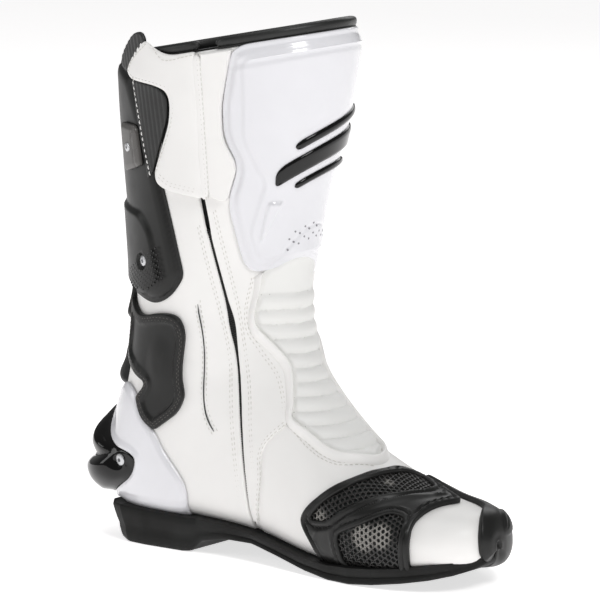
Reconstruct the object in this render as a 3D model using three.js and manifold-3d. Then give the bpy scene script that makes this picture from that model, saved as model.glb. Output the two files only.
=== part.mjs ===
// Left road-racing boot, in millimetres: +X to the toe, +Y to the outer (lateral) side, +Z up.
// Every layer is a slab laid at its own depth on one skin, the outer surface of the leather upper.
import * as THREE from 'three';
import { mergeVertices } from 'three/addons/utils/BufferGeometryUtils.js';
import Module from 'manifold-3d';

const wasm = await Module();
wasm.setup();

// Driving dimensions.
const SOLE_LENGTH = 297;       // heel to toe tip of the upper
const SHAFT_HEIGHT = 341;      // ground to the front of the collar
const BALL_WIDTH = 97;         // width of the upper at the ball of the foot
const LEATHER = 2.0;           // leather of the upper
const FOAM = 1.5;              // stiffeners and pads between leather and lining
const LINING = 1.7;
const PLATE = 3.2;             // heel cup, calf plate and guards
const SHIN_PLATE = 4.0;
const FLAP = 2.2;              // closure flap
const FOOTBED = 3.0;
const LAYER_GAP = 0.4;         // air between two layers
const SEAM_GAP = 0.5;          // air between two panels of one layer
const ZIP_SLIT = 3.4;          // between the leather edges over the zip
const ZIP_CHANNEL = 16;        // between the lining edges beside the zip
const ZIP_TRAVEL_TOP = 14.55;  // stations between which the zip runs straight
const ZIP_TRAVEL_END = 12.0;
const HINGE_CLEARANCE = 2.6;   // from the flap's hinge line to the leather on either side
const SCREW_HEAD = 3.6;        // radius
const SCREW_HEAD_HEIGHT = 1.6;
const SCREW_SHANK = 1.5;       // radius
const SCREW_RECESS = 1.0;
const SCREW_SIDES = 8;
const FIT = 0.3;               // clearance round screws and sliding pieces
const TREAD_LIFT = 6;          // rise of the heel breast above the ground

// Proportions of the last are drawn for these sizes, and follow the driving dimensions above.
const DRAWN_LENGTH = 297;
const DRAWN_HEIGHT = 341;
const DRAWN_WIDTH = 97;
const SHAFT_START = 150;       // height from which the shaft takes up a change of SHAFT_HEIGHT

const along = (x) => x * SOLE_LENGTH / DRAWN_LENGTH;
const across = (y) => y * BALL_WIDTH / DRAWN_WIDTH;
const shaftScale = (SHAFT_HEIGHT - SHAFT_START) / (DRAWN_HEIGHT - SHAFT_START);
const up = (z) => (z < SHAFT_START ? z : SHAFT_START + (z - SHAFT_START) * shaftScale);

// Cross-sections from the toe tip to above the collar. Each is a superellipse whose chord runs
// from the front or top point to the rear or bottom point:
// front x, y, z; rear x, y, z; widest place from the rear; front and rear powers; half-widths.
const SECTIONS = [
  [298, -12, 32, 298, -11, 28, 0.50, 2.0, 2.0, 2, 2],
  [291, -12, 46, 290, -9, 16, 0.45, 2.1, 2.6, 23, 21],
  [271, -11, 50, 268, -5, 10, 0.42, 2.2, 3.2, 38, 38],
  [241, -9, 55, 238, -1, 6, 0.40, 2.2, 3.6, 47, 47],
  [208, -7, 69, 202, 1, 4, 0.40, 2.2, 3.6, 48, 49],
  [181, -5, 85, 166, 1, 7, 0.40, 2.1, 3.6, 43, 46],
  [161, -3, 107, 124, 0, 15, 0.40, 2.1, 3.6, 37, 41],
  [147, -1, 130, 76, 0, 18, 0.40, 2.1, 3.6, 37, 38],
  [140, 0, 154, 25, 0, 20, 0.42, 2.0, 3.4, 39, 39],
  [139, 0, 178, 0, 0, 36, 0.44, 2.0, 2.8, 41, 41],
  [140, 0, 200, 3, 0, 74, 0.46, 2.0, 2.3, 43, 44],
  [142, 0, 221, 12, 0, 118, 0.47, 2.0, 2.1, 46, 46],
  [147, 0, 245, 17, 0, 160, 0.48, 2.0, 2.1, 49, 49],
  [156, 0, 273, 15, 0, 205, 0.48, 2.0, 2.1, 51.4, 53],
  [164, 0, 306, 11, 0, 252, 0.49, 2.0, 2.1, 55.1, 57],
  [169, 0, 341, 9, 0, 309, 0.50, 2.0, 2.1, 60, 60],
  [172, 0, 371, 8, 0, 339, 0.50, 2.0, 2.1, 63, 63],
].map(([fx, fy, fz, rx, ry, rz, wide, pf, pr, wm, wl]) => [
  along(fx), across(fy), up(fz), along(rx), across(ry), up(rz), wide, pf, pr, across(wm), across(wl),
]);
const TIP = 0.3;               // station of the hole in the leather under the toe slider's tip
const COLLAR = 15;             // station of the collar edge
const TRIM_TOP = 15.22;        // station of the top of the collar trim
const FLAP_TOP = 15.6;         // station above every piece

// The grid that all layers share, so that their facets lie parallel.
const STATION_LINES = [0.03, 0.3, 0.6, ...Array.from({ length: 21 }, (_, i) => 1 + i / 2), 12, 13, 14, 15, 15.22, 15.6];
const ROUND_STEPS = 8;         // grid lines on each side, from front to rear

// Depths of the layers, measured outwards from the skin.
const baseLayer = [-LEATHER, 0];
const foamLayer = [baseLayer[0] - LAYER_GAP - FOAM, baseLayer[0] - LAYER_GAP];
const liningLayer = [foamLayer[0] - LAYER_GAP - LINING, foamLayer[0] - LAYER_GAP];
const footbedLayer = [liningLayer[0] - LAYER_GAP - FOOTBED, liningLayer[0] - LAYER_GAP];
const plateLayer = [LAYER_GAP, LAYER_GAP + PLATE];
const shinLayer = [LAYER_GAP, LAYER_GAP + SHIN_PLATE];
const barLayer = [shinLayer[1] + LAYER_GAP, shinLayer[1] + LAYER_GAP + 1.8];
const loopLayer = [LAYER_GAP, LAYER_GAP + 0.7];
const hookLayer = [loopLayer[1] + LAYER_GAP, loopLayer[1] + LAYER_GAP + 0.7];
const flapLayer = [hookLayer[1] + LAYER_GAP, hookLayer[1] + LAYER_GAP + FLAP];
const meshLayer = [LAYER_GAP, LAYER_GAP + 0.8];
const padLayer = [meshLayer[1] + LAYER_GAP, meshLayer[1] + LAYER_GAP + 2.6];
const adjusterLayer = [plateLayer[1] + LAYER_GAP, plateLayer[1] + LAYER_GAP + 3.6];

const lerp = (a, b, f) => a + (b - a) * f;

// One row of the section table between stations, by a Catmull-Rom spline.
function sectionAt(station) {
  const last = SECTIONS.length - 1;
  const start = Math.min(Math.max(Math.floor(station), 0), last - 1);
  const f = station - start;
  const row = (i) => SECTIONS[Math.min(Math.max(i, 0), last)];
  return SECTIONS[0].map((_, c) => {
    const p1 = row(start)[c];
    const p2 = row(start + 1)[c];
    const p0 = start > 0 ? row(start - 1)[c] : 2 * p1 - p2;
    const p3 = start < last - 1 ? row(start + 2)[c] : 2 * p2 - p1;
    return p1 + 0.5 * f * (p2 - p0 + f * (2 * p0 - 5 * p1 + 4 * p2 - p3 + f * (3 * (p1 - p2) + p3 - p0)));
  });
}

const ARC_STEPS = 90;
const arcCache = new Map();

// Half of one section as (place along its chord, distance from it), spaced evenly by arc length.
function sectionArc(station, lateral) {
  const key = `${station.toFixed(5)}${lateral}`;
  if (arcCache.has(key)) return arcCache.get(key);
  const [fx, , fz, rx, , rz, wide, pf, pr, wm, wl] = sectionAt(station);
  const chord = Math.hypot(fx - rx, fz - rz);
  const half = lateral ? wl : wm;
  const points = [];
  let run = 0;
  for (let i = 0; i <= ARC_STEPS; i++) {
    const angle = Math.PI * i / ARC_STEPS;
    const c = Math.cos(angle);
    const power = c >= 0 ? pf : pr;
    const reach = Math.sign(c) * Math.abs(c) ** (2 / power);
    const place = chord * (wide + reach * (c >= 0 ? 1 - wide : wide));
    const side = half * Math.abs(Math.sin(angle)) ** (2 / power);
    if (i > 0) run += Math.hypot(place - points[i - 1][1], side - points[i - 1][2]);
    points.push([run, place, side]);
  }
  const arc = { points: points.map(([s, place, side]) => [s / run, place / chord, side]) };
  arcCache.set(key, arc);
  return arc;
}

// Skin point at a station and a turn: 0 is the front, 1 and -1 the rear, negative the medial side.
function skin(station, turn) {
  const wrapped = turn - 2 * Math.floor((turn + 1) / 2);
  const { points } = sectionArc(station, wrapped > 0);
  const share = Math.min(Math.abs(wrapped), 1);
  let i = 1;
  while (i < ARC_STEPS && points[i][0] < share) i++;
  const f = (share - points[i - 1][0]) / (points[i][0] - points[i - 1][0]);
  const place = lerp(points[i - 1][1], points[i][1], f);
  const side = lerp(points[i - 1][2], points[i][2], f) * Math.sign(wrapped);
  const [fx, fy, fz, rx, ry, rz] = sectionAt(station);
  return new THREE.Vector3(lerp(rx, fx, place), lerp(ry, fy, place) + side, lerp(rz, fz, place));
}

const NORMAL_STEP = 0.02;
function skinNormal(station, turn) {
  const low = Math.max(station - NORMAL_STEP, 0.01);
  const alongStation = skin(station + NORMAL_STEP, turn).sub(skin(low, turn));
  const alongTurn = skin(station, turn + NORMAL_STEP).sub(skin(station, turn - NORMAL_STEP));
  return alongTurn.cross(alongStation).normalize();
}

const offSkin = (station, turn, depth) => skin(station, turn).addScaledVector(skinNormal(station, turn), depth);

// A closed three.js geometry as a manifold solid, whichever way its faces point.
function toSolid(geometry) {
  const bare = geometry.clone();
  bare.deleteAttribute('normal');
  bare.deleteAttribute('uv');
  const merged = mergeVertices(bare, 1e-5);
  const vertProperties = new Float32Array(merged.attributes.position.array);
  const triVerts = new Uint32Array(merged.index.array);
  const corner = (i) => new THREE.Vector3().fromArray(vertProperties, 3 * i);
  let volume = 0;
  for (let i = 0; i < triVerts.length; i += 3) {
    volume += corner(triVerts[i]).dot(corner(triVerts[i + 1]).cross(corner(triVerts[i + 2])));
  }
  if (volume < 0) triVerts.reverse();
  return new wasm.Manifold(new wasm.Mesh({ numProp: 3, vertProperties, triVerts }));
}

function toGeometry(solid) {
  const body = solid.decompose().sort((a, b) => b.volume() - a.volume())[0];
  const { vertProperties, triVerts } = body.getMesh();
  const geometry = new THREE.BufferGeometry();
  geometry.setAttribute('position', new THREE.BufferAttribute(vertProperties, 3));
  geometry.setIndex(new THREE.BufferAttribute(triVerts, 1));
  geometry.computeVertexNormals();
  return geometry;
}

const gridBetween = (lines, from, to) => [from, ...lines.filter((l) => l > from + 0.02 && l < to - 0.02), to];
const turnLines = (from, to) => {
  const count = Math.ceil((to - from) * ROUND_STEPS) + 2;
  const first = Math.floor(from * ROUND_STEPS);
  return gridBetween(Array.from({ length: count }, (_, i) => (first + i) / ROUND_STEPS), from, to);
};

// A slab on the skin between two stations and two turns. depth is [inner, outer]; outer may be
// a function of station and turn. A full turn makes a tube. The inner face's quads are parted
// along the same diagonals as the outer face's, so that stacked slabs stay clear of each other.
function slab(depth, [s0, s1], [v0, v1], stations = STATION_LINES) {
  const rows = gridBetween(stations, s0, s1);
  const columns = turnLines(v0, v1);
  const full = v1 - v0 > 1.999;
  const box = new THREE.BoxGeometry(1, 1, 1, columns.length - 1, rows.length - 1, 1);
  const position = box.attributes.position;
  for (let i = 0; i < position.count; i++) {
    const column = columns[Math.round((position.getX(i) + 0.5) * (columns.length - 1))];
    const row = rows[Math.round((position.getY(i) + 0.5) * (rows.length - 1))];
    const end = depth[position.getZ(i) > 0 ? 1 : 0];
    const reach = typeof end === 'function' ? end(row, column) : end;
    position.setXYZ(i, ...offSkin(row, column, reach));
  }
  const index = [...box.index.array];
  const inner = box.groups[5];
  for (let i = inner.start; i < inner.start + inner.count; i += 6) {
    const [a, b, d, , c] = index.slice(i, i + 5);
    index.splice(i, 6, a, b, c, a, c, d);
  }
  box.setIndex(full ? index.slice(box.groups[2].start) : index);
  return toSolid(box);
}

// The whole upper as one filled solid, grown by a clearance.
function filledUpper(grow) {
  const rows = STATION_LINES.filter((l) => l <= 10);
  const ball = new THREE.SphereGeometry(1, 2 * ROUND_STEPS, rows.length + 1);
  const { position, uv } = ball.attributes;
  for (let i = 0; i < position.count; i++) {
    const row = Math.round((1 - uv.getY(i)) * (rows.length + 1));
    const inside = Math.min(Math.max(row, 1), rows.length);
    const centre = skin(rows[inside - 1], 0).lerp(skin(rows[inside - 1], 1), 0.5);
    const pole = row === 0 || row === rows.length + 1;
    const column = Math.round(uv.getX(i) * 2 * ROUND_STEPS) / ROUND_STEPS - 1;
    const point = pole ? centre : offSkin(rows[inside - 1], column, grow);
    position.setXYZ(i, ...point);
  }
  return toSolid(ball);
}

const FAR = 150;               // beyond any piece sideways
function outlineShape(points) {
  const shape = new THREE.Shape();
  points.forEach(([a, b], i) => (i ? shape.lineTo(a, b) : shape.moveTo(a, b)));
  return shape;
}

// A side-view outline (x, z as drawn) swept across the boot between two y values.
function sideCut(points, y0 = -FAR, y1 = FAR) {
  const shape = outlineShape(points.map(([x, z]) => [along(x), up(z)]));
  const block = new THREE.ExtrudeGeometry(shape, { depth: y1 - y0, bevelEnabled: false });
  block.rotateX(Math.PI / 2).translate(0, y1, 0);
  return toSolid(block);
}

// A top-view outline (x, y as drawn) swept upwards between two heights.
function topCut(points, z0, z1) {
  const shape = outlineShape(points.map(([x, y]) => [along(x), across(y)]));
  const block = new THREE.ExtrudeGeometry(shape, { depth: z1 - z0, bevelEnabled: false });
  block.translate(0, 0, z0);
  return toSolid(block);
}

// The strip of a side view within half a width of the line between two drawn points.
function stripCut([xa, za], [xb, zb], before, after, y0, y1) {
  const a = new THREE.Vector2(along(xa), up(za));
  const b = new THREE.Vector2(along(xb), up(zb));
  const direction = b.clone().sub(a).normalize();
  const forward = new THREE.Vector2(direction.y, -direction.x);
  if (forward.x < 0) forward.negate();
  const shape = outlineShape([
    a.clone().addScaledVector(forward, before), a.clone().addScaledVector(forward, after),
    b.clone().addScaledVector(forward, after), b.clone().addScaledVector(forward, before),
  ].map((p) => [p.x, p.y]));
  const block = new THREE.ExtrudeGeometry(shape, { depth: y1 - y0, bevelEnabled: false });
  block.rotateX(Math.PI / 2).translate(0, y1, 0);
  return toSolid(block);
}

const MEDIAL = [-1, 0];
const LATERAL = [0, 1];
const AROUND = [-1, 1];
const FRONT = [-0.5, 0.5];
const REAR = [-1.7, -0.3];
const MEDIAL_PATCH = [-0.98, -0.1];
const seamTurn = SEAM_GAP / 300; // half a seam, as a share of half the girth

// Lines of the side view that part the foot, the flexing ankle and the leg.
const ANKLE_LOW = [[-60, 24.5], [210, 167.9]];
const ANKLE_HIGH = [[-60, 89.3], [210, 214.4]];
const below = (line, shift) => [
  [-60, -40], [330, -40], [330, line[1][1] + shift], [210, line[1][1] + shift], [-60, line[0][1] + shift],
];
const above = (line, shift) => [
  [-60, line[0][1] + shift], [210, line[1][1] + shift], [330, line[1][1] + shift], [330, 420], [-60, 420],
];
const seam = SEAM_GAP / 2;
const footCut = () => sideCut(below(ANKLE_LOW, -seam));
const ankleCut = () => sideCut(above(ANKLE_LOW, seam)).intersect(sideCut(below(ANKLE_HIGH, -seam)));
const legCut = () => sideCut(above(ANKLE_HIGH, seam));

// The zip runs along one straight line of the side view.
const ZIP_TOP = [80, 356];
const ZIP_END = [125.2, 26];
const zipStrip = (before, after) => stripCut(ZIP_TOP, ZIP_END, before, after, -FAR, 0);
const behindZip = () => zipStrip(-FAR, -ZIP_SLIT / 2);
const aheadOfZip = () => stripCut(ZIP_TOP, [126.9, 14], ZIP_SLIT / 2, FAR, -FAR, 0);
const VAMP_LINE = 203;         // x of the seam between vamp and quarters

const leather = { color: 0xefeeeb, roughness: 0.55, metalness: 0 };
const glossWhite = { color: 0xececf1, roughness: 0.2, metalness: 0 };
const ribGrey = { color: 0xd8d7d3, roughness: 0.65, metalness: 0 };
const blackPlastic = { color: 0x2c2a29, roughness: 0.45, metalness: 0 };
const glossBlack = { color: 0x121212, roughness: 0.12, metalness: 0 };
const soleRubber = { color: 0x2b2928, roughness: 0.75, metalness: 0 };
const fabricBlack = { color: 0x1d1d1e, roughness: 0.9, metalness: 0 };
const foamGrey = { color: 0x77777a, roughness: 0.95, metalness: 0 };
const boardTan = { color: 0x9a815c, roughness: 0.9, metalness: 0 };
const adjusterGrey = { color: 0x4a4949, roughness: 0.35, metalness: 0 };
const steel = { color: 0xc9cacc, roughness: 0.25, metalness: 1 };

const boot = new THREE.Group();
function add(name, solid, look) {
  const mesh = new THREE.Mesh(toGeometry(solid), new THREE.MeshStandardMaterial(look));
  mesh.name = name;
  boot.add(mesh);
}

// Outsole: a block with a heel, an arch and toe spring, with the upper sunk into its top.
const SOLE_PROFILE = [
  // x, bottom, top, half-width inwards, half-width outwards
  [5, 7, 23.5, 22, 20], [11, 1.5, 23.5, 31, 28], [20, 0, 24, 36, 34], [38, 0, 24, 38, 37], [74, 0, 23, 38, 38],
  [82, TREAD_LIFT + 2, 23, 37, 38], [105, 12, 22, 37, 39], [128, 12.5, 19.5, 39, 42], [150, 8, 15.5, 42, 45],
  [175, 3, 11.5, 47, 48], [196, 0, 10.5, 50, 51], [214, 0, 11.5, 51, 52], [232, 1.8, 13, 49, 50],
  [252, 5, 15.5, 45, 45], [270, 8.5, 18.5, 38, 37], [283, 12, 20.5, 28, 27], [291, 15, 22.5, 18, 17],
  [296, 18.5, 24.5, 8, 8],
];
function soleBlock(grow) {
  const ends = SOLE_PROFILE.length - 1;
  const box = new THREE.BoxGeometry(1, 1, 1, ends, 4, 2);
  const position = box.attributes.position;
  for (let i = 0; i < position.count; i++) {
    const [x, bottom, top, medial, lateral] = SOLE_PROFILE[Math.round((position.getX(i) + 0.5) * ends)];
    const side = 2 * position.getY(i);
    const height = position.getZ(i) + 0.5;
    const taper = 1 - 0.05 * (1 - height);
    const axis = across(lerp(-1, -10, Math.max(0, (x - 200) / 100)));
    const y = axis + side * (taper * across(side < 0 ? medial : lateral) + grow);
    position.setXYZ(i, along(x), y, lerp(bottom, top + grow, height));
  }
  return toSolid(box);
}

// Tools for screws: a recess and a hole in the plate, and the screw that sits in them.
function screwTool(station, turn, outer, parts) {
  const centre = offSkin(station, turn, outer);
  const axis = skinNormal(station, turn);
  const turnTo = new THREE.Quaternion().setFromUnitVectors(new THREE.Vector3(0, 1, 0), axis);
  return parts.map(([radius, from, to]) => {
    const pin = new THREE.CylinderGeometry(radius, radius, to - from, SCREW_SIDES);
    pin.translate(0, (from + to) / 2, 0).applyQuaternion(turnTo).translate(...centre);
    return toSolid(pin);
  }).reduce((a, b) => a.add(b));
}
const screwHole = (station, turn, outer, depth) => screwTool(station, turn, outer, [
  [SCREW_HEAD + FIT, -SCREW_RECESS, 6], [SCREW_SHANK + FIT, -depth - 1, 1],
]);
const screw = (station, turn, outer, depth) => screwTool(station, turn, outer, [
  [SCREW_HEAD, -SCREW_RECESS + FIT, -SCREW_RECESS + FIT + SCREW_HEAD_HEIGHT],
  [SCREW_SHANK, -depth, -SCREW_RECESS + FIT + 0.5],
]);

// ---- foot ----
add('outsole', soleBlock(0).subtract(filledUpper(LAYER_GAP)), soleRubber);
const aboveSole = (solid) => solid.subtract(soleBlock(LAYER_GAP));
add('insole_board', slab(foamLayer, [1.0, 8.5], [-1.25, -0.75]), boardTan);
add('footbed', slab(footbedLayer, [1.0, 8.5], [-1.25, -0.75]), fabricBlack);

const wholeBase = (turns) => slab(baseLayer, [TIP, COLLAR], turns);
const medialBase = wholeBase([MEDIAL[0] + seamTurn, MEDIAL[1] - seamTurn]);
const lateralBase = wholeBase([LATERAL[0] + seamTurn, LATERAL[1] - seamTurn]);
const aheadOfVamp = [[VAMP_LINE + seam, -40], [330, -40], [330, 200], [VAMP_LINE + seam, 200]];
const behindVamp = [[-60, -40], [VAMP_LINE - seam, -40], [VAMP_LINE - seam, 420], [-60, 420]];
const vampShell = slab(baseLayer, [TIP, 6], [-1 + seamTurn, 1 - seamTurn]);
add('vamp', vampShell.intersect(sideCut(aheadOfVamp)), leather);

const behindVampCut = sideCut(behindVamp);
const medialFoot = medialBase.intersect(footCut()).intersect(behindVampCut);
add('quarter_medial_front', medialFoot.intersect(aheadOfZip()), leather);
add('quarter_medial_rear', medialFoot.intersect(behindZip()), leather);
add('quarter_lateral', lateralBase.intersect(footCut()).intersect(behindVampCut), leather);

add('toe_puff', slab(foamLayer, [1.0, 3.0], [-0.625, 0.625]), blackPlastic);
const counterOutline = [[-30, 16], [66, 16], [58, 60], [30, 72], [-30, 72]];
const boardRoom = slab([foamLayer[0] - 2, foamLayer[1] + 2], [0.9, 8.6], [-1.26, -0.74]);
add('heel_counter', slab(foamLayer, [7, 11], REAR).intersect(sideCut(counterOutline)).subtract(boardRoom),
  blackPlastic);

const liningCut = zipStrip(-ZIP_CHANNEL / 2, ZIP_CHANNEL / 2);
const wholeLining = slab(liningLayer, [0.6, COLLAR], AROUND).subtract(liningCut);
add('lining_foot', wholeLining.intersect(footCut()), fabricBlack);

const zipTape = slab(liningLayer, [5, COLLAR], MEDIAL_PATCH)
  .intersect(zipStrip(-ZIP_CHANNEL / 2 + FIT, ZIP_CHANNEL / 2 - FIT));
add('zip_foot', zipTape.intersect(footCut()), fabricBlack);

const cupOutline = [[-40, 25], [-40, 108], [27, 105], [37, 98], [50, 79], [63, 57], [72, 43], [77, 25]];
const bumperOutline = [[-40, 88], [10, 85], [20, 70], [31, 50], [28, 37], [16, 34], [-40, 34]];
const bumperGap = [[-41, 88.5], [10.4, 85.5], [20.5, 70.2], [31.6, 50], [28.3, 36.5], [16, 33.5], [-41, 33.5]];
add('heel_cup', aboveSole(slab(plateLayer, [6.8, 11.5], REAR).intersect(sideCut(cupOutline))
  .subtract(sideCut(bumperGap))), glossWhite);

// Heel bumper: two lobes, one above the other, standing out behind the heel.
const LOBE_REACH = 17;
const LOBE_BASE = 4.2;
const bumperStations = [8, 8.25, 8.5, 8.75, 9, 9.2, 9.4, 9.6, 9.8, 10, 10.25, 10.5];
function lobes(station, turn) {
  const sideways = Math.max(0, 1 - (Math.abs(turn + 1) / 0.24) ** 2);
  const upperLobe = Math.exp(-(((station - 9.75) / 0.42) ** 2));
  const lowerLobe = Math.exp(-(((station - 8.95) / 0.34) ** 2));
  return LOBE_BASE + LOBE_REACH * Math.sqrt(sideways) * Math.min(1, Math.max(0.86 * upperLobe, lowerLobe));
}
const bumperScrews = [[8.95, -0.835, 'medial'], [8.95, 0.835, 'lateral']];
let bumper = slab([LAYER_GAP + 0.4, lobes], [8, 10.5], [-1.35, -0.65], bumperStations).intersect(sideCut(bumperOutline));
bumperScrews.forEach(([s, v]) => { bumper = bumper.subtract(screwHole(s, v, LOBE_BASE + 0.6, 2.6)); });
add('heel_bumper', bumper, glossBlack);
bumperScrews.forEach(([s, v, side]) => add(`heel_bumper_screw_${side}`, screw(s, v, LOBE_BASE + 0.6, 2.6), steel));

// Toe slider on the outer front of the toe.
const sliderOutline = [[279, 3], [297, -27], [330, -27], [330, 70], [225, 70], [232, 34], [240, 24]];
const SLIDER_SCREW = [2.0, 0.52];
add('toe_slider', aboveSole(slab(plateLayer, [0.03, 4], [-0.95, 0.95]).intersect(topCut(sliderOutline, 15, 90))
  .subtract(screwHole(...SLIDER_SCREW, plateLayer[1], PLATE - 0.4))), blackPlastic);
add('toe_slider_screw', screw(...SLIDER_SCREW, plateLayer[1], PLATE - 0.4), steel);

// Shift pad over the inner side and top of the vamp, with windows that show the mesh under it.
const padSide = [
  [186, -10], [180, 20], [168, 37], [172, 45], [187, 56], [200, 90], [262, 90], [263, 45], [258, -10],
];
const padTop = [[160, -80], [185, -46], [202, -35], [213, -9], [219, 6], [232, 20], [250, 8], [266, -6], [268, -80]];
const padTrim = (solid) => aboveSole(solid.intersect(sideCut(padSide)).intersect(topCut(padTop, 5, 120)));
const wideWindow = [[202, 20], [200, 31], [210, 37], [236, 36], [249, 31], [249, 21], [232, 17]];
const upperWindow = [[180, 42], [204, 42], [226, 47], [240, 46], [250, 52], [250, 80], [203, 80], [190, 55]];
const windowTop = [[180, -80], [194, -42], [211, -28], [221, -4], [234, 10], [247, 0], [256, -12], [257, -80]];
add('shift_pad_mesh', padTrim(slab(meshLayer, [2, 5.5], [-0.8, 0.35])), steel);
add('shift_pad', padTrim(slab(padLayer, [2, 5.5], [-0.8, 0.35])).subtract(sideCut(wideWindow, -FAR, 0))
  .subtract(sideCut(upperWindow).intersect(topCut(windowTop, 10, 120))), blackPlastic);

// ---- ankle: the pieces that bend ----
add('ankle_medial_front', medialBase.intersect(ankleCut()).intersect(aheadOfZip()), leather);
add('ankle_medial_rear', medialBase.intersect(ankleCut()).intersect(behindZip()), leather);
add('ankle_lateral', lateralBase.intersect(ankleCut()), leather);
add('lining_ankle', wholeLining.intersect(ankleCut()), fabricBlack);
add('zip_ankle', zipTape.intersect(ankleCut()), fabricBlack);

const accordionOutline = [
  [240, 60], [193, 71], [168, 84], [152, 93], [146, 116], [140, 128], [131, 139], [121, 150], [119, 160], [123, 176],
  [125, 181], [240, 181],
];
add('accordion_front', slab(plateLayer, [4.2, 10.2], [-0.35, 0.2]).intersect(sideCut(accordionOutline)), ribGrey);

const guardOutline = [
  [31, 125], [34, 158], [46, 153], [62, 156], [74, 155], [79, 145], [77, 101], [71, 92], [53, 80], [40, 99], [46, 107],
];
const guardPlate = slab(plateLayer, [7.5, 12.5], REAR).intersect(sideCut(guardOutline));
add('ankle_guard_medial', guardPlate.intersect(sideCut([[-60, 0], [200, 0], [200, 300], [-60, 300]], -FAR, 0)), blackPlastic);
add('ankle_guard_lateral', guardPlate.intersect(sideCut([[-60, 0], [200, 0], [200, 300], [-60, 300]], 0, FAR)), blackPlastic);

const padOutline = [[50, 88], [84, 88], [90, 110], [84, 134], [56, 134], [46, 112]];
const anklePads = slab(foamLayer, [7.5, 11.5], REAR).intersect(sideCut(padOutline));
add('malleolus_pad_medial', anklePads.intersect(sideCut([[0, 0], [200, 0], [200, 300], [0, 300]], -FAR, 0)), foamGrey);
add('malleolus_pad_lateral', anklePads.intersect(sideCut([[0, 0], [200, 0], [200, 300], [0, 300]], 0, FAR)), foamGrey);

const scaleUpper = [[-40, 134], [24, 130], [29, 160], [30, 164], [-40, 164]];
const scaleLower = [[-40, 110], [25, 110], [25, 124], [23, 127], [-40, 131]];
add('achilles_scale_upper', slab(plateLayer, [9, 13], REAR).intersect(sideCut(scaleUpper)), blackPlastic);
add('achilles_scale_lower', slab(plateLayer, [9, 13], REAR).intersect(sideCut(scaleLower)), blackPlastic);

// ---- leg ----
add('shaft_medial_front', medialBase.intersect(legCut()).intersect(aheadOfZip()), leather);
add('shaft_medial_rear', medialBase.intersect(legCut()).intersect(behindZip()), leather);
add('shaft_lateral', lateralBase.intersect(legCut()), leather);
add('lining_leg', wholeLining.intersect(legCut()), fabricBlack);
add('collar_trim', slab([liningLayer[0], 0], [COLLAR + 0.015, TRIM_TOP], AROUND).subtract(liningCut), fabricBlack);

const shinOutline = [
  [127, 336], [118, 296], [117, 277], [123, 256], [113, 232], [117, 196], [122, 186], [240, 186], [240, 352], [160, 342],
];
add('shin_plate', slab(shinLayer, [9, COLLAR], FRONT).intersect(sideCut(shinOutline)), glossWhite);
const shinPadOutline = [[132, 320], [126, 215], [240, 215], [240, 335]];
add('shin_pad', slab(foamLayer, [10, COLLAR], FRONT).intersect(sideCut(shinPadOutline)), foamGrey);
const BAR_PITCH = 21;
['lower', 'middle', 'upper'].forEach((place, i) => {
  const z = 238 + i * BAR_PITCH;
  const bar = [[133 + 2 * i, z], [129 + 2 * i, z + 9], [240, z + 60], [240, z + 51]];
  add(`shin_bar_${place}`, slab(barLayer, [11, COLLAR], [-0.2, 0.3]).intersect(sideCut(bar)), glossBlack);
});

const calfOutline = [
  [-40, 318], [42, 309], [47, 303], [62, 254], [62, 242], [67, 238], [79, 181], [71, 168], [60, 164], [36, 168], [-40, 170],
];
const calfScrews = [[12.15, -0.7, 'medial'], [12.15, 0.7, 'lateral']];
const ADJUSTER_SCREW = [13.95, -0.75];
const ADJUSTER_TRAVEL = 3;     // each way
let calfPlate = slab(plateLayer, [10.5, TRIM_TOP], REAR).intersect(sideCut(calfOutline));
calfScrews.forEach(([s, v]) => { calfPlate = calfPlate.subtract(screwHole(s, v, plateLayer[1], PLATE - 0.4)); });
calfPlate = calfPlate.subtract(screwHole(...ADJUSTER_SCREW, plateLayer[1] - 1, PLATE - 1.4));
add('calf_plate', calfPlate, blackPlastic);
calfScrews.forEach(([s, v, side]) => {
  add(`calf_plate_screw_${side}`, screw(s, v, plateLayer[1], PLATE - 0.4), steel);
});

// Loop patch on the shaft, under the flap.
const loopOutline = [[64, 316], [80, 317], [87, 252], [70, 252]];
add('loop_patch', slab(loopLayer, [11.5, COLLAR], MEDIAL_PATCH).intersect(sideCut(loopOutline)), fabricBlack);

// ---- closure flap ----
const HINGE_TOP = [103, 345];
const HINGE_END = [101, 226];
const behindHinge = stripCut(HINGE_TOP, HINGE_END, -FAR, -HINGE_CLEARANCE / 2, -FAR, 0);
const aheadOfHinge = stripCut(HINGE_TOP, HINGE_END, HINGE_CLEARANCE, 60, -FAR, 0);
const flapOutline = [
  [43, 308.5], [70, 336], [85, 338], [97, 331], [120, 333], [120, 234], [93, 235], [69, 238.5], [65, 241.5], [63, 247],
  [81, 286], [81, 298], [76, 304], [49, 305],
];
const insertOutline = [[50, 304.4], [75.8, 303.4], [80.5, 297.7], [80.5, 286.3], [65, 253], [51, 300]];
const tabOutline = [[37, 317], [42.4, 309.2], [69.6, 336.8], [63, 343]];
const flapSkin = slab(flapLayer, [11.5, FLAP_TOP], MEDIAL_PATCH);
const onFlap = (outline) => flapSkin.intersect(sideCut(outline, -FAR, 0)).intersect(behindHinge);
add('closure_flap', onFlap(flapOutline), leather);
add('flap_ribbed_insert', onFlap(insertOutline), fabricBlack);
add('flap_pull_tab', onFlap(tabOutline), blackPlastic);
const hookOutline = [[66, 314], [79, 315], [86, 254], [72, 254]];
add('flap_hook_patch', slab(hookLayer, [11.5, COLLAR], MEDIAL_PATCH).intersect(sideCut(hookOutline)), fabricBlack);
const anchorOutline = [
  [98, 330.5], [125, 333], [116, 296], [115, 277], [121, 256], [111, 234], [98, 234],
];
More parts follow.
